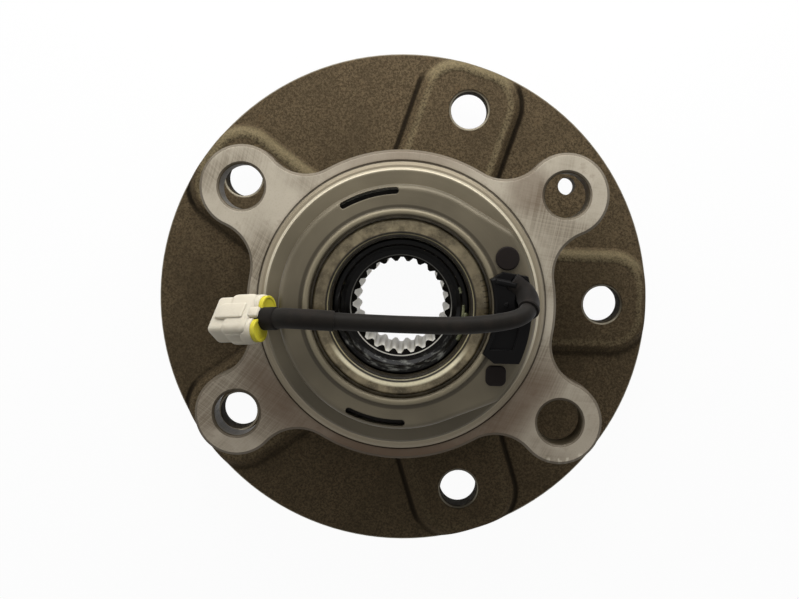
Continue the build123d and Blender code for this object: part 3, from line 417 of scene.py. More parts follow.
        thread = (z * (2 * math.pi / self.thread_pitch) + turn).sine()
        in_hole = hole.rise(self.hole_radius + 0.3, self.hole_radius + 0.1)
        skin = (grain * 0.5 + pits * 0.2 + patch * 0.8) * (1 - made) * (1 - inside)
        relief = g.relief(0.35, (thread * in_hole, 0.12), (skin, 0.22), (lathe * made, 0.012))
        film = {"Coat Weight": oily * 0.08, "Coat Roughness": 0.12, "Specular IOR Level": 0.05}
        return g.surface(colour, rough, metal, relief, film)


@dataclass(frozen=True)
class MilledRingSteel:
    """Outer ring: milled bolt face, turned pilot and bore, forged sides. Sizes are in millimetres."""

    name: str = "milled_ring_steel"
    face_pale: Colour = shade(178, 169, 152)
    face_dark: Colour = shade(120, 110, 94)
    stain: Colour = shade(94, 76, 60)
    side_dark: Colour = shade(50, 42, 31)
    side_light: Colour = shade(84, 73, 56)
    turned: Colour = shade(138, 128, 108)
    # Painted highlight on the pilot's lip, also the colour of the nicks.
    lip: Colour = shade(214, 206, 186)
    # Painted shade in the groove round the pilot and along the bottom of the face.
    painted_shade_dark: Colour = shade(54, 46, 34)
    # Painted shade on the walls of the bolt holes, varied by drill marks.
    wall_dark: Colour = shade(58, 50, 37)
    wall_light: Colour = shade(112, 102, 83)
    face_height: float = 41.0
    pilot_low: float = 39.6
    pilot_high: float = 43.0
    bore_low: float = 10.4
    pilot_radius: float = 38.1
    hole_edge: float = 6.25
    ear_x: float = 43.4
    ear_y: float = 30.4
    ear_radius: float = 10.5
    first_cutter: tuple[float, float] = (-150.0, 60.0)
    second_cutter: tuple[float, float] = (60.0, 150.0)
    blot_middle: tuple[float, float] = (33.5, 31.5)

    @staticmethod
    def away(x: Sig, y: Sig, middle: tuple[float, float]) -> Sig:
        """Distance from a point in plan."""
        return (x - middle[0]).reach(y - middle[1])

    def nicks(self, g: Graph, x: Sig, y: Sig) -> Sig:
        """Small dents on the outer edge of one ear."""
        edge = self.away(x, y, (self.ear_x, -self.ear_y)).band(self.ear_radius, 0.7, 0.3)
        dents = g.streaks(x * 0.8, y * 0.3, 0.0, 2.0, 0.6).rise(0.5, 0.62)
        return edge * x.rise(39.5, 41.0) * (y.rise(-38.2, -39.2) * dents)

    def face(
        self, g: Graph, x: Sig, y: Sig, radius: Sig, broad: Sig, patch: Sig, grain: Sig, lines: Sig
    ) -> Sig:
        """Milled face with its cutter lines, stains where oil has dried and nicks, painted shade towards the
        bottom and along the foot below the pilot, and painted light at the top.
        """
        belly = abs(y).rise(30.0, 40.5) * abs(x).rise(32.0, 12.0)
        foot = y.rise(-35.5, -40.5) * abs(x).rise(34.0, 22.0)
        blot = self.away(x, y, self.blot_middle).rise(8.5, 3.0)
        web = radius.rise(51.0, 42.0) * y.rise(-8.0, -22.0)
        top = y.rise(26.0, 38.0) * abs(x).rise(34.0, 20.0)
        return g.coats(
            g.mix(broad.rise(0.35, 0.68), self.face_dark, self.face_pale),
            (lines.rise(0.38, 0.62) * 0.5, self.face_pale),
            (grain.rise(0.5, 0.8) * 0.3, self.face_dark),
            (belly * (0.4 + patch * 0.6), self.stain),
            # Painted shadow along the bottom of the face, below the pilot.
            (foot * (0.5 + patch * 0.4), self.painted_shade_dark),
            (patch.rise(0.58, 0.8) * 0.4, self.stain),
            (blot * (0.3 + patch * 0.4), self.stain),
            # Painted shade: darker towards the bottom, in the stain colour.
            (y.rise(-12.0, -34.0) * 0.22, self.stain),
            (web * (0.45 + patch * 0.5), self.stain),
            (self.nicks(g, x, y) * 0.5, self.lip),
            # Painted light: lighter at the top.
            (top * 0.4, self.face_pale),
        )

    def material(self) -> bpy.types.Material:
        """Builds the finish."""
        g = Graph.paint(self.name)
        at, x, y, z, radius, turn = g.survey()
        broad = g.noise(at, 15.0, 3.0, 0.5)
        patch = g.noise(at, 3.8, 4.0, 0.6)
        grain = g.noise(at, 0.45, 3.0, 0.65)
        mill = g.streaks(self.away(x, y, self.first_cutter) * 2.4, 0.0, broad * 0.6, 2.0, 0.6)
        cross = g.streaks(self.away(x, y, self.second_cutter) * 2.2, 3.0, broad * 0.6, 2.0, 0.6)
        lines = mill * 0.6 + cross * 0.4
        lathe = g.streaks(radius * 11.0, z * 11.0, turn * 0.5)
        bore = (abs(x) - self.ear_x).reach(abs(y) - self.ear_y)
        drill = g.streaks(bore, z * 5.0, patch)

        top = z.rise(self.face_height - 1.4, self.face_height - 0.5) * g.facing_up().rise(0.6, 0.9)
        ring = radius.rise(self.pilot_radius + 0.05, self.pilot_radius - 0.1)
        ring = ring * z.rise(self.pilot_low, self.pilot_low + 0.6)
        inner = radius.rise(self.pilot_radius + 0.3, self.pilot_radius - 0.2)
        made = ring.high(inner * z.rise(self.bore_low, self.bore_low + 0.5))
        lip = radius.rise(self.pilot_radius - 1.4, self.pilot_radius - 1.6)
        lip = lip * z.rise(self.pilot_high, self.pilot_high + 0.4)
        groove = radius.band(self.pilot_radius + 0.3, 0.25, 0.8)
        groove = groove * z.rise(self.face_height + 0.15, self.face_height - 0.15)
        drilled = bore.rise(self.hole_edge, self.hole_edge - 0.15)

        colour = g.coats(
            g.mix(0.3 + patch.rise(0.25, 0.75) * 0.45, self.side_dark, self.side_light),
            (grain.rise(0.4, 0.7) * 0.3, self.side_light),
            (top, self.face(g, x, y, radius, broad, patch, grain, lines)),
            (made, g.mix(lathe.rise(0.3, 0.7) * 0.5, self.turned, self.face_dark)),
            # Painted highlight on the pilot's inner lip, on the side that faces the light.
            (lip * (0.1 + highlight_side(x, y) * 0.75), self.lip),
            # Painted shade in the groove round the pilot.
            (groove * 0.4, self.painted_shade_dark),
            # Painted shade on the walls of the bolt holes, varied by drill marks.
            (drilled, g.mix(drill.rise(0.35, 0.65), self.wall_dark, self.wall_light)),
        )
        smooth = top.high(made).high(drilled)
        rough = 0.62 + (0.34 + lines * 0.16 - 0.62) * smooth
        skin = (grain * 0.5 + patch * 0.6) * (1 - smooth)
        relief = g.relief(
            0.25, (skin, 0.2), (lines * top, 0.03), (lathe * made, 0.012), (drill * drilled, 0.04)
        )
        return g.surface(colour, rough, 0.2 + 0.15 * smooth, relief, {"Specular IOR Level": 0.25})


@dataclass(frozen=True)
class CapSheetSteel:
    """Drawn sheet cap with a satin olive film and fine draw marks, painted shadow low on the cap and towards
    the bottom, and painted highlights on its rim edge and bead. Sizes are in millimetres.
    """

    name: str = "cap_sheet_steel"
    pale: Colour = shade(103, 95, 78)
    deep: Colour = shade(84, 77, 62)
    shadow: Colour = shade(46, 40, 29)
    # Lighter tone of the low rim, and the painted highlight on the bead's crest.
    ridge: Colour = shade(132, 123, 101)
    # Painted highlight on the rim edge.
    lip: Colour = shade(200, 191, 170)
    edge_radius: float = 36.25
    bead_foot: float = 26.2
    plateau_height: float = 52.0
    rim_height: float = 44.8

    def material(self) -> bpy.types.Material:
        """Builds the finish."""
        g = Graph.paint(self.name)
        at, x, y, z, radius, turn = g.survey()
        broad = g.noise(at, 22.0, 3.0, 0.5)
        draw = g.streaks(radius * 5.5, z * 5.5, turn * 0.45, 3.0, 0.55)
        speck = g.noise(at, 0.35, 2.0, 0.6)
        wall = z.rise(self.plateau_height - 0.8, self.plateau_height - 1.8)
        rim = z.rise(self.rim_height + 0.9, self.rim_height + 0.3)
        edge = rim * radius.rise(self.edge_radius - 0.4, self.edge_radius - 0.2)
        gutter = radius.band(self.bead_foot, 0.25, 0.45)
        gutter = gutter * z.rise(self.plateau_height - 1.0, self.plateau_height - 0.5)
        crest_highlight = z.rise(self.plateau_height + 0.35, self.plateau_height + 0.7)
        colour = g.coats(
            g.mix(broad.rise(0.3, 0.7), self.deep, self.pale),
            (draw.rise(0.45, 0.75) * 0.25, self.pale),
            (speck.rise(0.5, 0.8) * 0.2, self.deep),
            (rim * 0.12, self.ridge),
            # Painted highlight on the rim edge, on the side that faces the light.
            (edge * (0.2 + highlight_side(x, y) * 0.8), self.lip),
            (rim * y.rise(-8.0, -26.0) * 0.45, self.shadow),
            (wall * (1 - rim) * 0.25, self.shadow),
            (gutter * 0.75, self.shadow),
            # Painted highlight on the crest of the bead.
            (crest_highlight * 0.7, self.ridge),
        )
        relief = g.relief(0.5, (draw, 0.014), (speck, 0.012))
        return g.surface(colour, 0.38 + draw * 0.12, 0.3, relief, {"Specular IOR Level": 0.3})


@dataclass(frozen=True)
class GoldenRingSteel:
    """Ground inner ring under a film of amber oil, with painted shade in its mouth and at its left and right,
    and a painted highlight low on its inner edge. Sizes are in millimetres.
    """

    name: str = "golden_ring_steel"
    gold: Colour = shade(134, 122, 96)
    glow: Colour = shade(176, 165, 126)
    brown: Colour = shade(72, 63, 46)
    # Colour of the ticks, and the painted shade in the mouth.
    black: Colour = shade(15, 12, 9)
    # Painted highlight low on the inner edge.
    inner_edge_highlight: Colour = shade(240, 230, 196)
    mouth_radius: float = 19.75
    face_radius: float = 23.2
    line_radius: float = 19.1
    highlight_radius: float = 20.2
    tick_radius: float = 22.4
    tick_angle: float = 0.14
    tick_count: float = 96.0

    def material(self) -> bpy.types.Material:
        """Builds the finish."""
        g = Graph.paint(self.name)
        at, x, y, z, radius, turn = g.survey()
        film = g.noise(at, 4.0, 4.0, 0.6)
        mottle = g.noise(at, 0.8, 4.0, 0.7)
        grind = g.streaks(radius * 16.0, z * 12.0, turn * 0.8)
        ticks = (turn * self.tick_count).sine().rise(0.5, 0.95) * radius.band(self.tick_radius, 0.55, 0.2)
        ticks = ticks * abs(turn - self.tick_angle).rise(0.26, 0.2)
        side = abs(x).rise(8.0, 19.0) * y.rise(-14.0, -6.0)
        shine = radius.band(self.highlight_radius, 0.2, 0.75) * y.rise(-9.0, -15.0) * (0.6 + mottle * 0.6)
        mouth = radius.rise(self.mouth_radius + 0.2, self.mouth_radius - 0.2)
        outside = radius.rise(self.face_radius, self.face_radius + 0.5)
        colour = g.coats(
            g.mix(film.rise(0.3, 0.7), self.brown, self.gold),
            (mottle.rise(0.52, 0.8) * 0.4, self.glow),
            (mottle.rise(0.42, 0.25) * 0.3, self.brown),
            (grind.rise(0.5, 0.8) * 0.25, self.glow),
            (ticks * 0.75, self.black),
            # Painted shade: darker at the left and right.
            (side * 0.45, self.brown),
            # Painted highlight on the inner edge, low down.
            (shine * 0.95, self.inner_edge_highlight),
            # Painted shade where the bore drops into the recess.
            (mouth * (0.75 + mottle * 0.3), self.black),
            (radius.band(self.line_radius, 0.08, 0.1) * 0.6, self.glow),
            (outside * 0.6, self.brown),
        )
        relief = g.relief(0.3, (mottle, 0.04), (grind, 0.01))
        film = {"Coat Weight": 0.3 - mouth * 0.15, "Coat Roughness": 0.14, "Specular IOR Level": 0.12}
        return g.surface(colour, 0.26 + mottle * 0.2, 0.4 - mouth * 0.4, relief, film)


@dataclass(frozen=True)
class PlainSteel:
    """Bright steel of small turned, rolled or pressed pieces."""

    name: str
    colour: Colour
    rough: float = 0.3
    grain: float = 0.5

    def material(self) -> bpy.types.Material:
        """Builds the finish."""
        g = Graph.paint(self.name)
        at, _, _, z, radius, _ = g.survey()
        lines = g.streaks(radius * 9.0, z * 9.0, 0.0)
        stain = g.noise(at, 3.0, 3.0, 0.5)
        colour = g.mix(stain.rise(0.35, 0.8) * 0.35, self.colour, dimmed(self.colour, 0.55))
        relief = g.relief(0.0, (lines, 0.01 * self.grain))
        return g.surface(colour, self.rough + 0.15 * stain, 0.9, relief)


@dataclass(frozen=True)
class MouldedPlastic:
    """Moulded plastic with a fine eroded skin and soft clouds of a second colour: soiling on most pieces, a
    painted highlight on the grease. Sizes are in millimetres.
    """

    name: str
    colour: Colour
    # Second colour: soiling on most pieces, a painted highlight on the grease.
    dirt_and_highlight: Colour
    rough: float
    skin: float
    skin_depth: float
    dirt_and_highlight_share: float = 0.4
    specular: float = 0.5
    milky: float = 0.0
    milky_depth: float = 1.2

    def material(self) -> bpy.types.Material:
        """Builds the finish."""
        g = Graph.paint(self.name)
        at = g.survey()[0]
        skin = g.noise(at, self.skin, 3.0, 0.6)
        cloud = g.noise(at, 2.6, 4.0, 0.6)
        colour = g.mix(cloud.rise(0.42, 0.8) * self.dirt_and_highlight_share, self.colour, self.dirt_and_highlight)
        relief = g.relief(0.35, (skin, self.skin_depth), (cloud, self.skin_depth * 3.0))
        depth = {
            "Specular IOR Level": self.specular,
            "Subsurface Weight": self.milky,
            "Subsurface Radius": (1.0, 1.0, 1.0),
            "Subsurface Scale": self.milky_depth * MM,
        }
        return g.surface(colour, self.rough + 0.2 * cloud, 0.0, relief, depth)


@dataclass(frozen=True)
class SoftRubber:
    """Rubber or sheath with a dull bloom and small scuffs."""

    name: str
    colour: Colour
    bloom: Colour
    rough: float
    sheen: float = 0.0

    def material(self) -> bpy.types.Material:
        """Builds the finish."""
        g = Graph.paint(self.name)
        at = g.survey()[0]
        cloud = g.noise(at, 3.0, 4.0, 0.6)
        fine = g.noise(at, 0.3, 3.0, 0.6)
        colour = g.coats(
            g.mix(cloud.rise(0.4, 0.75) * 0.6, self.colour, self.bloom),
            (fine.rise(0.6, 0.85) * 0.3, self.bloom),
        )
        relief = g.relief(0.0, (fine, 0.02), (cloud, 0.05))
        bloom = {"Sheen Weight": self.sheen, "Specular IOR Level": 0.08}
        return g.surface(colour, self.rough + 0.15 * cloud, 0.0, relief, bloom)


class Stock(Enum):
    """The finishes that the pieces share."""

    HUB = ForgedHubSteel()
    RING = MilledRingSteel()
    CAP = CapSheetSteel()
    INNER = GoldenRingSteel()
    PRESSED = PlainSteel("pressed_steel", shade(150, 146, 134), rough=0.35)
    BALL = PlainSteel("polished_ball_steel", shade(206, 206, 204), rough=0.08, grain=0.1)
    BLADE = PlainSteel("tinned_blade", shade(196, 186, 160), rough=0.28)
    ENCODER = SoftRubber("encoder_magnet", shade(40, 38, 36), shade(66, 62, 57), 0.5)
    NITRILE = SoftRubber("nitrile_lip", shade(24, 23, 23), shade(44, 42, 40), 0.5)
    SHEATH = SoftRubber("cable_sheath", shade(22, 19, 15), shade(36, 30, 25), 0.5, sheen=0.12)
    SLEEVE = SoftRubber("cable_sleeve_rubber", shade(22, 19, 15), shade(36, 30, 25), 0.55, sheen=0.08)
    BOOT = SoftRubber("boot_rubber", shade(20, 17, 14), shade(34, 28, 24), 0.6, sheen=0.05)
    SENSOR = MouldedPlastic(
        "sensor_plastic", shade(5, 4, 4), shade(13, 11, 10), 0.3, 0.22, 0.012, specular=0.08
    )
    PLUG = MouldedPlastic(
        "plug_plastic", shade(24, 19, 17), shade(32, 26, 23), 0.55, 0.3, 0.02, specular=0.1
    )
    SEAL = MouldedPlastic(
        "yellow_silicone", shade(200, 190, 52), shade(178, 160, 28), 0.4, 0.5, 0.03, 0.5, 0.3, 0.4
    )
    WHITE = MouldedPlastic(
        "white_polyamide", shade(204, 196, 178), shade(192, 184, 166), 0.5, 0.5, 0.03, 0.5, 0.2, 0.6
    )
    # The grease's second colour is a painted highlight, in pale clouds.
    GREASE = MouldedPlastic(
        "olive_grease", shade(62, 64, 34), shade(142, 142, 104), 0.12, 0.9, 0.08, 0.6, 0.5
    )
    CAGE = MouldedPlastic(
        "cage_polyamide", shade(178, 166, 136), shade(150, 136, 104), 0.5, 0.4, 0.02
    )


# Helpers for pieces


def dress(node_name: str, finish: bpy.types.Material) -> None:
    """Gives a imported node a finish."""
    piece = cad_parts[node_name]
    piece.data.materials.clear()
    piece.data.materials.append(finish)


class FinishRack:
    """Makes each shared material once, when a piece first asks for it."""

    def __init__(self) -> None:
        """Starts empty."""
        self._made: dict[Stock, bpy.types.Material] = {}

    def __getitem__(self, stock: Stock) -> bpy.types.Material:
        """The material of a finish."""
        if stock not in self._made:
            self._made[stock] = stock.value.material()
        return self._made[stock]


class Workbench:
    """One new mesh and the modelling steps on it, in metres. Heights closer than `close` count as one."""

    close = 1e-6

    def __init__(self, piece: bpy.types.Object, name: str) -> None:
        """Takes over the primitive that was just added, and names it."""
        self.piece = piece
        piece.name = name
        piece.data.name = name
        bpy.ops.object.transform_apply(location=True, rotation=True, scale=True)

    @classmethod
    def block(cls, name: str, low: Vector, high: Vector) -> Workbench:
        """Starts from a box between two corners."""
        bpy.ops.object.select_all(action="DESELECT")
        bpy.ops.mesh.primitive_cube_add(size=1.0, location=(low + high) / 2, scale=high - low)
        return cls(bpy.context.object, name)

    @classmethod
    def disc(cls, name: str, centre: Vector, radius: float, depth: float) -> Workbench:
        """Starts from a round slab whose low face is at centre."""
        bpy.ops.object.select_all(action="DESELECT")
        middle = centre + UP * depth / 2
        bpy.ops.mesh.primitive_cylinder_add(vertices=48, radius=radius, depth=depth, location=middle)
        return cls(bpy.context.object, name)

    def pick(self, test: Callable[[Vector, Vector], bool]) -> Workbench:
        """Selects the faces whose centre and direction pass the test."""
        mesh = self.piece.data
        for group in (mesh.vertices, mesh.edges):
            for item in group:
                item.select = False
        for face in mesh.polygons:
            face.select = test(face.center, face.normal)
        return self

    def pick_all(self) -> Workbench:
        """Selects every face."""
        return self.pick(lambda centre, normal: True)

    def pick_end(self, height: float) -> Workbench:
        """Selects the flat end across Z at this height."""
        return self.pick(lambda centre, normal: abs(normal.z) > 0.9 and abs(centre.z - height) < self.close)

    def edit(self, tool: Callable[..., object], **settings: object) -> Workbench:
        """Runs a mesh tool on the selected faces."""
        bpy.ops.object.mode_set(mode="EDIT")
        bpy.ops.mesh.select_mode(type="FACE")
        tool(**settings)
        bpy.ops.object.mode_set(mode="OBJECT")
        return self

    def inset(self, by: float) -> Workbench:
        """Insets the selected faces."""
        return self.edit(bpy.ops.mesh.inset, thickness=by, depth=0.0)

    def push(self, by: Vector) -> Workbench:
        """Extrudes the selected faces along a vector."""
        return self.edit(bpy.ops.mesh.extrude_region_move, TRANSFORM_OT_translate={"value": by})

    def resize(self, by: Sequence[float], about: Vector) -> Workbench:
        """Scales the selected faces along X, Y and Z about a point."""
        return self.edit(bpy.ops.transform.resize, value=by, center_override=about)

    def swing(self, turn: Quaternion, about: Vector) -> Workbench:
        """Turns the selected faces about a point, axis by axis."""
        for axis, angle in zip("XYZ", turn.to_euler("XYZ")):
            # Without a window the tool turns the other way, so the angle is negative.
            self.edit(bpy.ops.transform.rotate, value=-angle, orient_axis=axis, center_override=about)
        return self

    def round_edges(self, radius: float, segments: int = 3, limit: float = 30.0) -> Workbench:
        """Rounds the edges sharper than the limit in degrees."""
        edges = self.piece.modifiers.new("edges", "BEVEL")
        edges.width, edges.segments = radius, segments
        edges.limit_method, edges.angle_limit = "ANGLE", math.radians(limit)
        bpy.ops.object.modifier_apply(modifier=edges.name)
        return self

    def union(self, other: Workbench) -> Workbench:
        """Fuses another piece into this one."""
        fuse = self.piece.modifiers.new("fuse", "BOOLEAN")
        fuse.operation, fuse.object = "UNION", other.piece
        bpy.context.view_layer.objects.active = self.piece
        bpy.ops.object.modifier_apply(modifier=fuse.name)
        bpy.data.objects.remove(other.piece)
        return self

    def settle(
        self, body: str, slot_name: str, finish: bpy.types.Material, place: Matrix = Matrix.Identity(4)
    ) -> bpy.types.Object:
        """Places, smooths, dresses and mounts the finished piece.

        Args:
            body: the moving body that carries it.
            slot_name: not used.
            finish: its material.
            place: where its own axes stand in the unit.

        Returns:
            The finished piece.
        """
        piece = self.piece
        bpy.ops.object.select_all(action="DESELECT")
        piece.select_set(True)
        bpy.context.view_layer.objects.active = piece
        piece.matrix_world = place
        bpy.ops.object.transform_apply(location=True, rotation=True, scale=True)
        bpy.ops.object.shade_smooth_by_angle(angle=math.radians(32.0))
        piece.data.materials.clear()
        piece.data.materials.append(finish)
        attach(piece, body)
        log.info("%s: %d faces", piece.name, len(piece.data.polygons))
        return piece


# Sub-assemblies


@dataclass
class SensorLead:
    """The short lead from the sensor to its connector, one soft cord. Its route is in millimetres."""

    diameter: float = 4.5 * MM
    length: float = 70.0 * MM
    route: tuple[Point, ...] = (
        (32.79, 2.49, 58.5),
        (32.99, 0.64, 61.5),
        (29.96, -1.37, 64.0),
        (23.72, -2.71, 64.5),
        (15.20, -3.70, 62.8),
        (0.46, -3.94, 60.2),
        (-12.61, -3.72, 59.4),
        (-19.35, -3.45, 59.6),
        (-25.69, -3.26, 59.7),
        (-29.33, -3.20, 58.85),
        (-31.40, -3.40, 57.65),
    )
    fellows: tuple[str, ...] = ("cable_sleeve", "connector_boot", "connector_retainer", "connector_terminals")

    def build(self, rack: FinishRack, head: Sequence[bpy.types.Object]) -> None:
        """Makes the sheath as a smooth curve on the route's points, with the head at its far end."""
        line = bpy.data.curves.new("lead_sheath", "CURVE")
        line.dimensions = "3D"
        spline = line.splines.new("NURBS")
        spline.points.add(len(self.route) - 1)
        for point, place in zip(spline.points, self.route):
            point.co = (*(value * MM for value in place), 1.0)
        spline.order_u = 3
        spline.use_endpoint_u = True
        spline.resolution_u = 12
        line.bevel_depth = self.diameter / 2
        line.bevel_resolution = 8
        line.use_fill_caps = True
        sheath = bpy.data.objects.new("lead_sheath", line)
        bpy.context.scene.collection.objects.link(sheath)
        line.materials.append(rack[Stock.SHEATH])
        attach(sheath, "housing")
        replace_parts(sheath, "cable")
        tuple(value * MM for value in self.route[0])
        [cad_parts[name] for name in self.fellows]
        log.info("lead: made lead_sheath")


@dataclass
class ConnectorHead:
    """White two-way housing and its yellow seal, moulded with soft edges. Sizes are in millimetres.

    Its own Z runs along the lead, away from the sensor, from the rear face of the solids' seal, its own X
    along the wide side, and its own Y to the side with the latch.
    """

    lead_end: Point = (-31.40, -3.40, 57.65)
    direction: Point = (-0.862133, -0.083298, -0.499787)
    rear_boot: float = 5.1
    roll_degrees: float = 40.0
    rear: float = -1.2
    seal_depth: float = 2.2
    tip: float = 14.0
    nose_start: float = 9.4
    nose_root: float = 3.5
    nose_inset: float = 0.6
    body_wide: float = 12.2
    body_thick: float = 8.0
    mouth_wall: float = 0.15
    socket: float = 6.4
    corner: float = 1.9
    lobe_radius: float = 3.3
    lobe_pitch: float = 7.2
    cup_depth: float = 3.2
    plug_depth: float = 3.4
    plug_rim: float = 0.7
    sunk: float = 0.6
    grip_start: float = 3.0
    latch_half: float = 2.3
    latch_proud: float = 0.5
    latch_end: float = 9.8
    latch_ramp: float = 2.4
    rib_pitch: float = 3.4
    rib_proud: float = 0.25
    rib_end: float = 7.8
    bridge_half: float = 1.5
    bridge_low: float = 1.2
    bridge_end: float = 2.4
    waist_low: float = -2.2
    waist_high: float = 1.4
    waist_end: float = 2.2

    def place(self) -> Matrix:
        """Where the head's own axes stand, in metres."""
        along = Vector(self.direction).normalized()
        level = UP.cross(along).normalized()
        wide = Matrix.Rotation(math.radians(self.roll_degrees), 3, along) @ level
        origin = Vector(self.lead_end) + along * self.rear_boot
        turn = Matrix((wide, along.cross(wide), along)).transposed().to_4x4()
        return Matrix.Translation(origin * MM) @ turn

    @staticmethod
    def slab(name: str, low: Point, high: Point, corner: float, segments: int) -> Workbench:
        """A box between two corners in millimetres, with its edges rounded."""
        return Workbench.block(name, Vector(low) * MM, Vector(high) * MM).round_edges(corner * MM, segments)

    def housing(self) -> Workbench:
        """The body with its narrower nose and its socket, all edges well rounded."""
        half_x, half_y = self.body_wide / 2, self.body_thick / 2
        low = (-half_x, -half_y, self.rear + self.seal_depth)
        made = self.slab("connector_shell", low, (half_x, half_y, self.nose_start), self.corner, 5)
        nose_x, nose_y = half_x - self.nose_inset, half_y - self.nose_inset
        low = (-nose_x, -nose_y, self.nose_start - self.nose_root)
        made.union(self.slab("connector_nose", low, (nose_x, nose_y, self.tip), self.corner * 0.75, 5))
        return made.pick_end(self.tip * MM).inset(self.mouth_wall * MM).push(-UP * self.socket * MM)

    def cup(self, side: int) -> Workbench:
        """The round collar of the housing behind one seal plug."""
        low = Vector((side * self.lobe_pitch / 2, 0.0, 0.1)) * MM
        radius = (self.lobe_radius + 0.1) * MM
        made = Workbench.disc(f"connector_cup_{side}", low, radius, self.cup_depth * MM)
        return made.round_edges(0.35 * MM)

    def latch(self) -> Workbench:
        """The long bar on the lit side, with a ramp at its far end."""
        top = self.body_thick / 2
        low = Vector((-self.latch_half, top - self.sunk, self.grip_start)) * MM
        high = Vector((self.latch_half, top + self.latch_proud, self.latch_end)) * MM
        made = Workbench.block("connector_latch", low, high).pick_end(high.z)
        made.push(Vector((0.0, -self.latch_proud, self.latch_ramp)) * MM)
        foot = Vector((0.0, top - self.sunk, self.latch_end + self.latch_ramp)) * MM
        return made.resize((0.8, 0.8, 1.0), foot).round_edges(0.45 * MM, 4)

    def rib(self, side: int, row: int) -> Workbench:
        """One grip rib on a narrow side."""
        edge, middle = side * self.body_wide / 2, row * self.rib_pitch / 2
        low_x, high_x = sorted((edge - side * self.sunk, edge + side * self.rib_proud))
        low, high = (low_x, middle - 0.6, self.grip_start), (high_x, middle + 0.6, self.rib_end)
        return self.slab(f"connector_rib_{side}_{row}", low, high, 0.3, 2)

    def bridge(self) -> Workbench:
        """The saddle of the housing between the two seal plugs."""
        low = (-self.bridge_half, self.bridge_low, self.rear + 0.2)
        high = (self.bridge_half, self.body_thick / 2 - 0.35, self.bridge_end)
        return self.slab("connector_bridge", low, high, 0.5, 3)

    def plug(self, side: int) -> Workbench:
        """One round seal plug with a raised, rounded rim."""
        low = Vector((side * self.lobe_pitch / 2, 0.0, self.rear)) * MM
        radius = (self.lobe_radius - 0.25) * MM
        made = Workbench.disc(f"seal_plug_{side}", low, radius, self.plug_depth * MM)
        made.pick_end(low.z).inset(self.plug_rim * MM).push(UP * 0.2 * MM)
        return made.round_edges(0.45 * MM, 4)

    def waist(self) -> Workbench:
        """The part of the seal that joins the plugs round the lead."""
        half = self.lobe_pitch / 2
        low, high = (-half, self.waist_low, self.rear + 0.3), (half, self.waist_high, self.waist_end)
        return self.slab("seal_waist", low, high, 0.4, 2)

    def build(self, rack: FinishRack) -> list[bpy.types.Object]:
        """Models the head in place of the plain solids, and returns the pieces that move with the lead."""
        place = self.place()
        white, yellow = rack[Stock.WHITE], rack[Stock.SEAL]
        shell = self.housing().settle("housing", "white_plastic", white, place)
        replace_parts(shell, "connector_housing")
        pale = [self.latch(), self.bridge(), self.cup(-1), self.cup(1)]
        pale += [self.rib(side, row) for side in (-1, 1) for row in (-1, 1)]
        made = [shell] + [piece.settle("housing", "white_plastic", white, place) for piece in pale]
        plugs = [self.plug(side).settle("housing", "yellow_silicone", yellow, place) for side in (-1, 1)]
        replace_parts(plugs[0], "connector_seal")
        return made + plugs + [self.waist().settle("housing", "yellow_silicone", yellow, place)]


@dataclass
class SensorBoot:
    """Rubber boot that leads the cable out of the sensor, ending in a thin lip. Sizes are in millimetres.

    Every station is a centre, the direction that the boot has there, and its radius.
    """

    sides: int = 32
    first_step: float = 1.0
    near: float = 0.25
    stations: tuple[tuple[Point, Point, float], ...] = (
        ((28.7, 7.15, 56.0), (0.8, -0.6, -0.02), 2.92),
        ((30.5, 5.8, 56.0), (0.76, -0.62, 0.12), 2.92),
        ((31.7, 4.75, 56.5), (0.5, -0.64, 0.5), 2.9),
        ((32.45, 3.6, 57.6), (0.2, -0.58, 0.79), 2.85),
        ((32.8, 2.3, 59.1), (0.04, -0.54, 0.84), 2.75),
        ((32.76, 1.15, 60.7), (-0.2, -0.53, 0.82), 2.6),
        ((32.72, 1.1, 60.78), (-0.2, -0.53, 0.82), 2.82),
        ((32.52, 0.72, 61.4), (-0.34, -0.51, 0.76), 2.8),
    )

    def start(self) -> Workbench:
        """A short cylinder at the first station, along the boot's direction there."""
        centre, heading, radius = self.stations[0]
        bpy.ops.object.select_all(action="DESELECT")
        bpy.ops.mesh.primitive_cylinder_add(
            vertices=self.sides,
            radius=radius * MM,
            depth=self.first_step * MM,
            location=Vector(centre) * MM,
            rotation=UP.rotation_difference(Vector(heading)).to_euler(),
        )
        return Workbench(bpy.context.object, "lead_boot")

    def build(self, rack: FinishRack) -> None:
        """Models the boot in place of the plain solid, its end face drawn from station to station."""
        made = self.start()
        centre, heading, _ = self.stations[0]
        at = (Vector(centre) + Vector(heading).normalized() * self.first_step / 2) * MM
        for (_, heading, radius), (centre, further_heading, further_radius) in pairwise(self.stations):
            spot, facing = at, Vector(heading).normalized()
            made.pick(lambda c, n: (c - spot).length < self.near * MM and n.dot(facing) > 0.95)
            at = Vector(centre) * MM
            made.push(at - spot).swing(facing.rotation_difference(Vector(further_heading)), at)
            made.resize(Vector((1.0, 1.0, 1.0)) * (further_radius / radius), at)
        made.round_edges(0.12 * MM, 2, 40.0)
        boot = made.settle("housing", "sensor_plastic", rack[Stock.BOOT])
        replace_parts(boot, "sensor_boot")


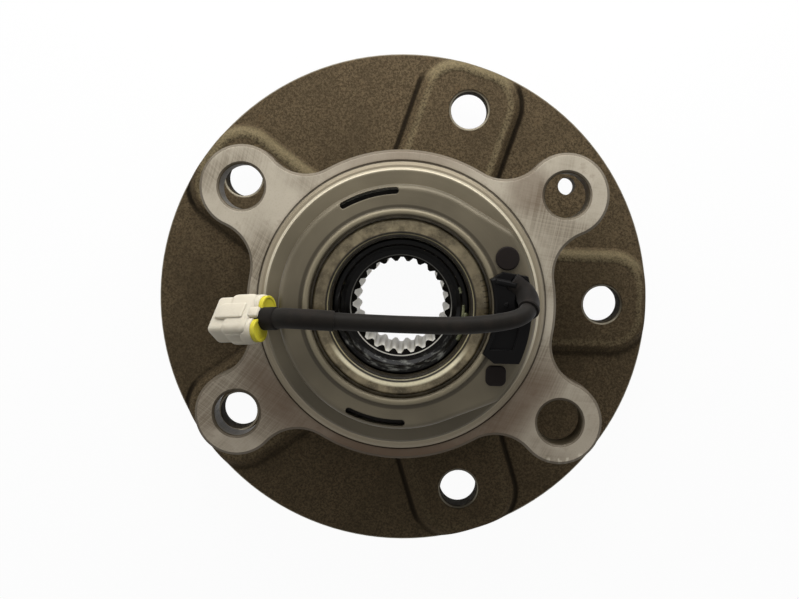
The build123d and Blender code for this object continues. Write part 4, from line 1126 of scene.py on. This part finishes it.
@dataclass
class GreaseSmear:
    """Olive grease left on the spindle's end, beside the spline. Sizes are in millimetres.

    Every bead is a distance from the spin axis, the angle where it starts, the angle that it covers, both
    in degrees, and its half width.
    """

    height: float = 47.4
    flatness: float = 0.7
    beads: tuple[tuple[float, float, float, float], ...] = (
        (17.3, -4.0, 26.0, 0.62),
        (16.5, 3.0, 12.0, 0.45),
        (16.2, 19.5, 6.0, 0.4),
    )

    def bead(self, index: int, radius: float, start: float, sweep: float, thick: float) -> Workbench:
        """One curved bead, flattened on the steel."""
        angle = math.radians(start)
        x, y, z = radius * math.cos(angle), radius * math.sin(angle), self.height + thick * 0.25
        bpy.ops.object.select_all(action="DESELECT")
        bpy.ops.mesh.primitive_circle_add(
            vertices=10,
            radius=thick * MM,
            fill_type="NGON",
            location=Vector((x, y, z)) * MM,
            rotation=(math.pi / 2, 0.0, angle),
        )
        made = Workbench(bpy.context.object, f"grease_bead_{index}")
        arc = math.radians(sweep)
        made.pick_all().edit(bpy.ops.mesh.spin, steps=10, angle=arc, center=(0.0, 0.0, 0.0), axis=UP)
        made.pick_all().edit(bpy.ops.mesh.normals_make_consistent, inside=False)
        soft = made.piece.modifiers.new("soft", "SUBSURF")
        soft.levels = 2
        bpy.ops.object.modifier_apply(modifier=soft.name)
        return made.pick_all().resize((1.0, 1.0, self.flatness), UP * self.height * MM)

    def build(self, rack: FinishRack) -> None:
        """Lays the beads on the hub."""
        for index, sizes in enumerate(self.beads, 1):
            self.bead(index, *sizes).settle("hub", "forged_steel", rack[Stock.GREASE])


# Studio


@dataclass
class Studio:
    """Camera, lamps, world and floor.

    Heights and the aim are in millimetres, the floor and the lamps in metres. A lamp is its name, place,
    width, height and power in watts.
    """

    image_width: float = 799.0
    image_height: float = 599.0
    focal_pixels: float = 1504.5
    sensor_mm: float = 36.0
    aim_height: float = 11.0
    aim_distance: float = 431.85
    aim_pixel: tuple[float, float] = (402.28, 298.89)
    down_pixel: tuple[float, float] = (419.09, 218.68)
    roll_degrees: float = 1.57
    floor_height: float = -12.05
    floor_size: float = 4.0
    sky: float = 0.2
    paper: Colour = (0.8, 0.8, 0.8)
    paper_glow: float = 0.96
    lamps: tuple[tuple[str, Point, float, float, float], ...] = (
        ("key_panel", (0.0, 0.19, 0.13), 0.30, 0.12, 0.75),
        ("left_panel", (-0.60, 0.06, 0.30), 0.40, 0.40, 0.75),
        ("right_panel", (0.60, 0.02, 0.30), 0.40, 0.40, 0.25),
    )

    def ray(self, pixel: tuple[float, float]) -> Vector:
        """Direction of a pixel in the camera's own axes, at unit depth."""
        right = (pixel[0] - self.image_width / 2) / self.focal_pixels
        up = (self.image_height / 2 - pixel[1]) / self.focal_pixels
        return Vector((right, up, -1.0))

    def camera(self) -> None:
        """Hangs the camera over the unit, looking down nearly along the spin axis."""
        axis_z = -self.ray(self.down_pixel).normalized()
        roll = math.radians(self.roll_degrees)
        axis_x = Vector((math.cos(roll), -math.sin(roll), 0.0))
        axis_x = (axis_x - axis_x.dot(axis_z) * axis_z).normalized()
        turn = Matrix((axis_x, axis_z.cross(axis_x), axis_z))
        aim = self.ray(self.aim_pixel) * self.aim_distance * MM
        place = UP * self.aim_height * MM - turn @ aim

        data = bpy.data.cameras.new("camera")
        data.sensor_width = self.sensor_mm
        data.lens = self.focal_pixels / self.image_width * self.sensor_mm
        data.clip_start, data.clip_end = 0.01, 20.0
        camera = bpy.data.objects.new("camera", data)
        bpy.context.scene.collection.objects.link(camera)
        camera.matrix_world = Matrix.Translation(place) @ turn.to_4x4()
        bpy.context.scene.camera = camera

    def world(self) -> None:
        """White to the eye and to reflections, dimmer as light."""
        world = bpy.data.worlds.new("studio_world")
        bpy.context.scene.world = world
        bpy.context.scene.view_settings.view_transform = "Standard"
        g = Graph(world)
        strength = g.seen_white() * (1.0 - self.sky) + self.sky
        g.finish(g.out("ShaderNodeBackground", None, {"Color": WHITE_LIGHT, "Strength": strength}))

    def lights(self) -> None:
        """Hangs the soft panels."""
        for name, place, wide, tall, power in self.lamps:
            data = bpy.data.lights.new(name, "AREA")
            data.shape = "RECTANGLE"
            data.size, data.size_y = wide, tall
            data.energy = power
            lamp = bpy.data.objects.new(name, data)
            bpy.context.scene.collection.objects.link(lamp)
            lamp.location = place
            lamp.rotation_euler = (-Vector(place)).to_track_quat("-Z", "Y").to_euler()
            lamp.visible_camera = False

    def floor(self) -> None:
        """Lays a pale floor that keeps the shadow and reads white elsewhere."""
        bpy.ops.object.select_all(action="DESELECT")
        low = UP * self.floor_height * MM
        bpy.ops.mesh.primitive_plane_add(size=self.floor_size, location=low)
        plane = bpy.context.object
        plane.name = "floor"
        g = Graph.paint("floor_paper")
        paper = g.out("ShaderNodeBsdfDiffuse", None, {"Color": (*self.paper, 1.0)})
        glow = g.out("ShaderNodeEmission", None, {"Color": WHITE_LIGHT, "Strength": 1.0})
        seen = g.seen_white() * self.paper_glow
        g.finish(g.out("ShaderNodeMixShader", None, {0: seen, 1: paper, 2: glow}))
        plane.data.materials.append(g.owner)

    def build(self) -> None:
        """Sets the whole studio."""
        self.camera()
        self.world()
        self.lights()
        self.floor()
        log.info("studio: camera, world, lamps and floor are set")


# Whole unit


ASSEMBLIES: dict[str, dict[str, Stock]] = {
    "wheel hub": {"wheel_hub": Stock.HUB, "inner_ring": Stock.INNER},
    "outer ring": {
        "outer_ring": Stock.RING,
        "outboard_seal_case": Stock.PRESSED,
        "outboard_seal_lip": Stock.NITRILE,
        "inboard_seal_case": Stock.PRESSED,
        "inboard_seal_lip": Stock.NITRILE,
    },
    "ball rows": {
        "outboard_balls": Stock.BALL,
        "inboard_balls": Stock.BALL,
        "outboard_cage": Stock.CAGE,
        "inboard_cage": Stock.CAGE,
    },
    "speed sensing": {
        "encoder_carrier": Stock.PRESSED,
        "encoder_ring": Stock.ENCODER,
        "sensor_cap": Stock.CAP,
        "sensor_body": Stock.SENSOR,
        "sensor_element": Stock.SENSOR,
        "sensor_plugs": Stock.PLUG,
    },
    "connector": {
        "cable_sleeve": Stock.SLEEVE,
        "connector_boot": Stock.BOOT,
        "connector_retainer": Stock.WHITE,
        "connector_terminals": Stock.BLADE,
    },
}


def dress_assemblies(rack: FinishRack) -> None:
    """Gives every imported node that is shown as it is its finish, group by group."""
    for title, finishes in ASSEMBLIES.items():
        for node_name, stock in finishes.items():
            dress(node_name, rack[stock])
            log.info("%s: dressed %s", title, node_name)


def write_sizes() -> None:
    """Brings the view layer up to date."""
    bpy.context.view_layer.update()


def main() -> None:
    """Builds the studio and dresses the unit."""
    logging.basicConfig(level=logging.INFO, format="%(message)s")
    rack = FinishRack()
    Studio().build()
    head = ConnectorHead().build(rack)
    SensorLead().build(rack, head)
    SensorBoot().build(rack)
    GreaseSmear().build(rack)
    dress_assemblies(rack)
    write_sizes()


if __name__ == "__main__":
    main()
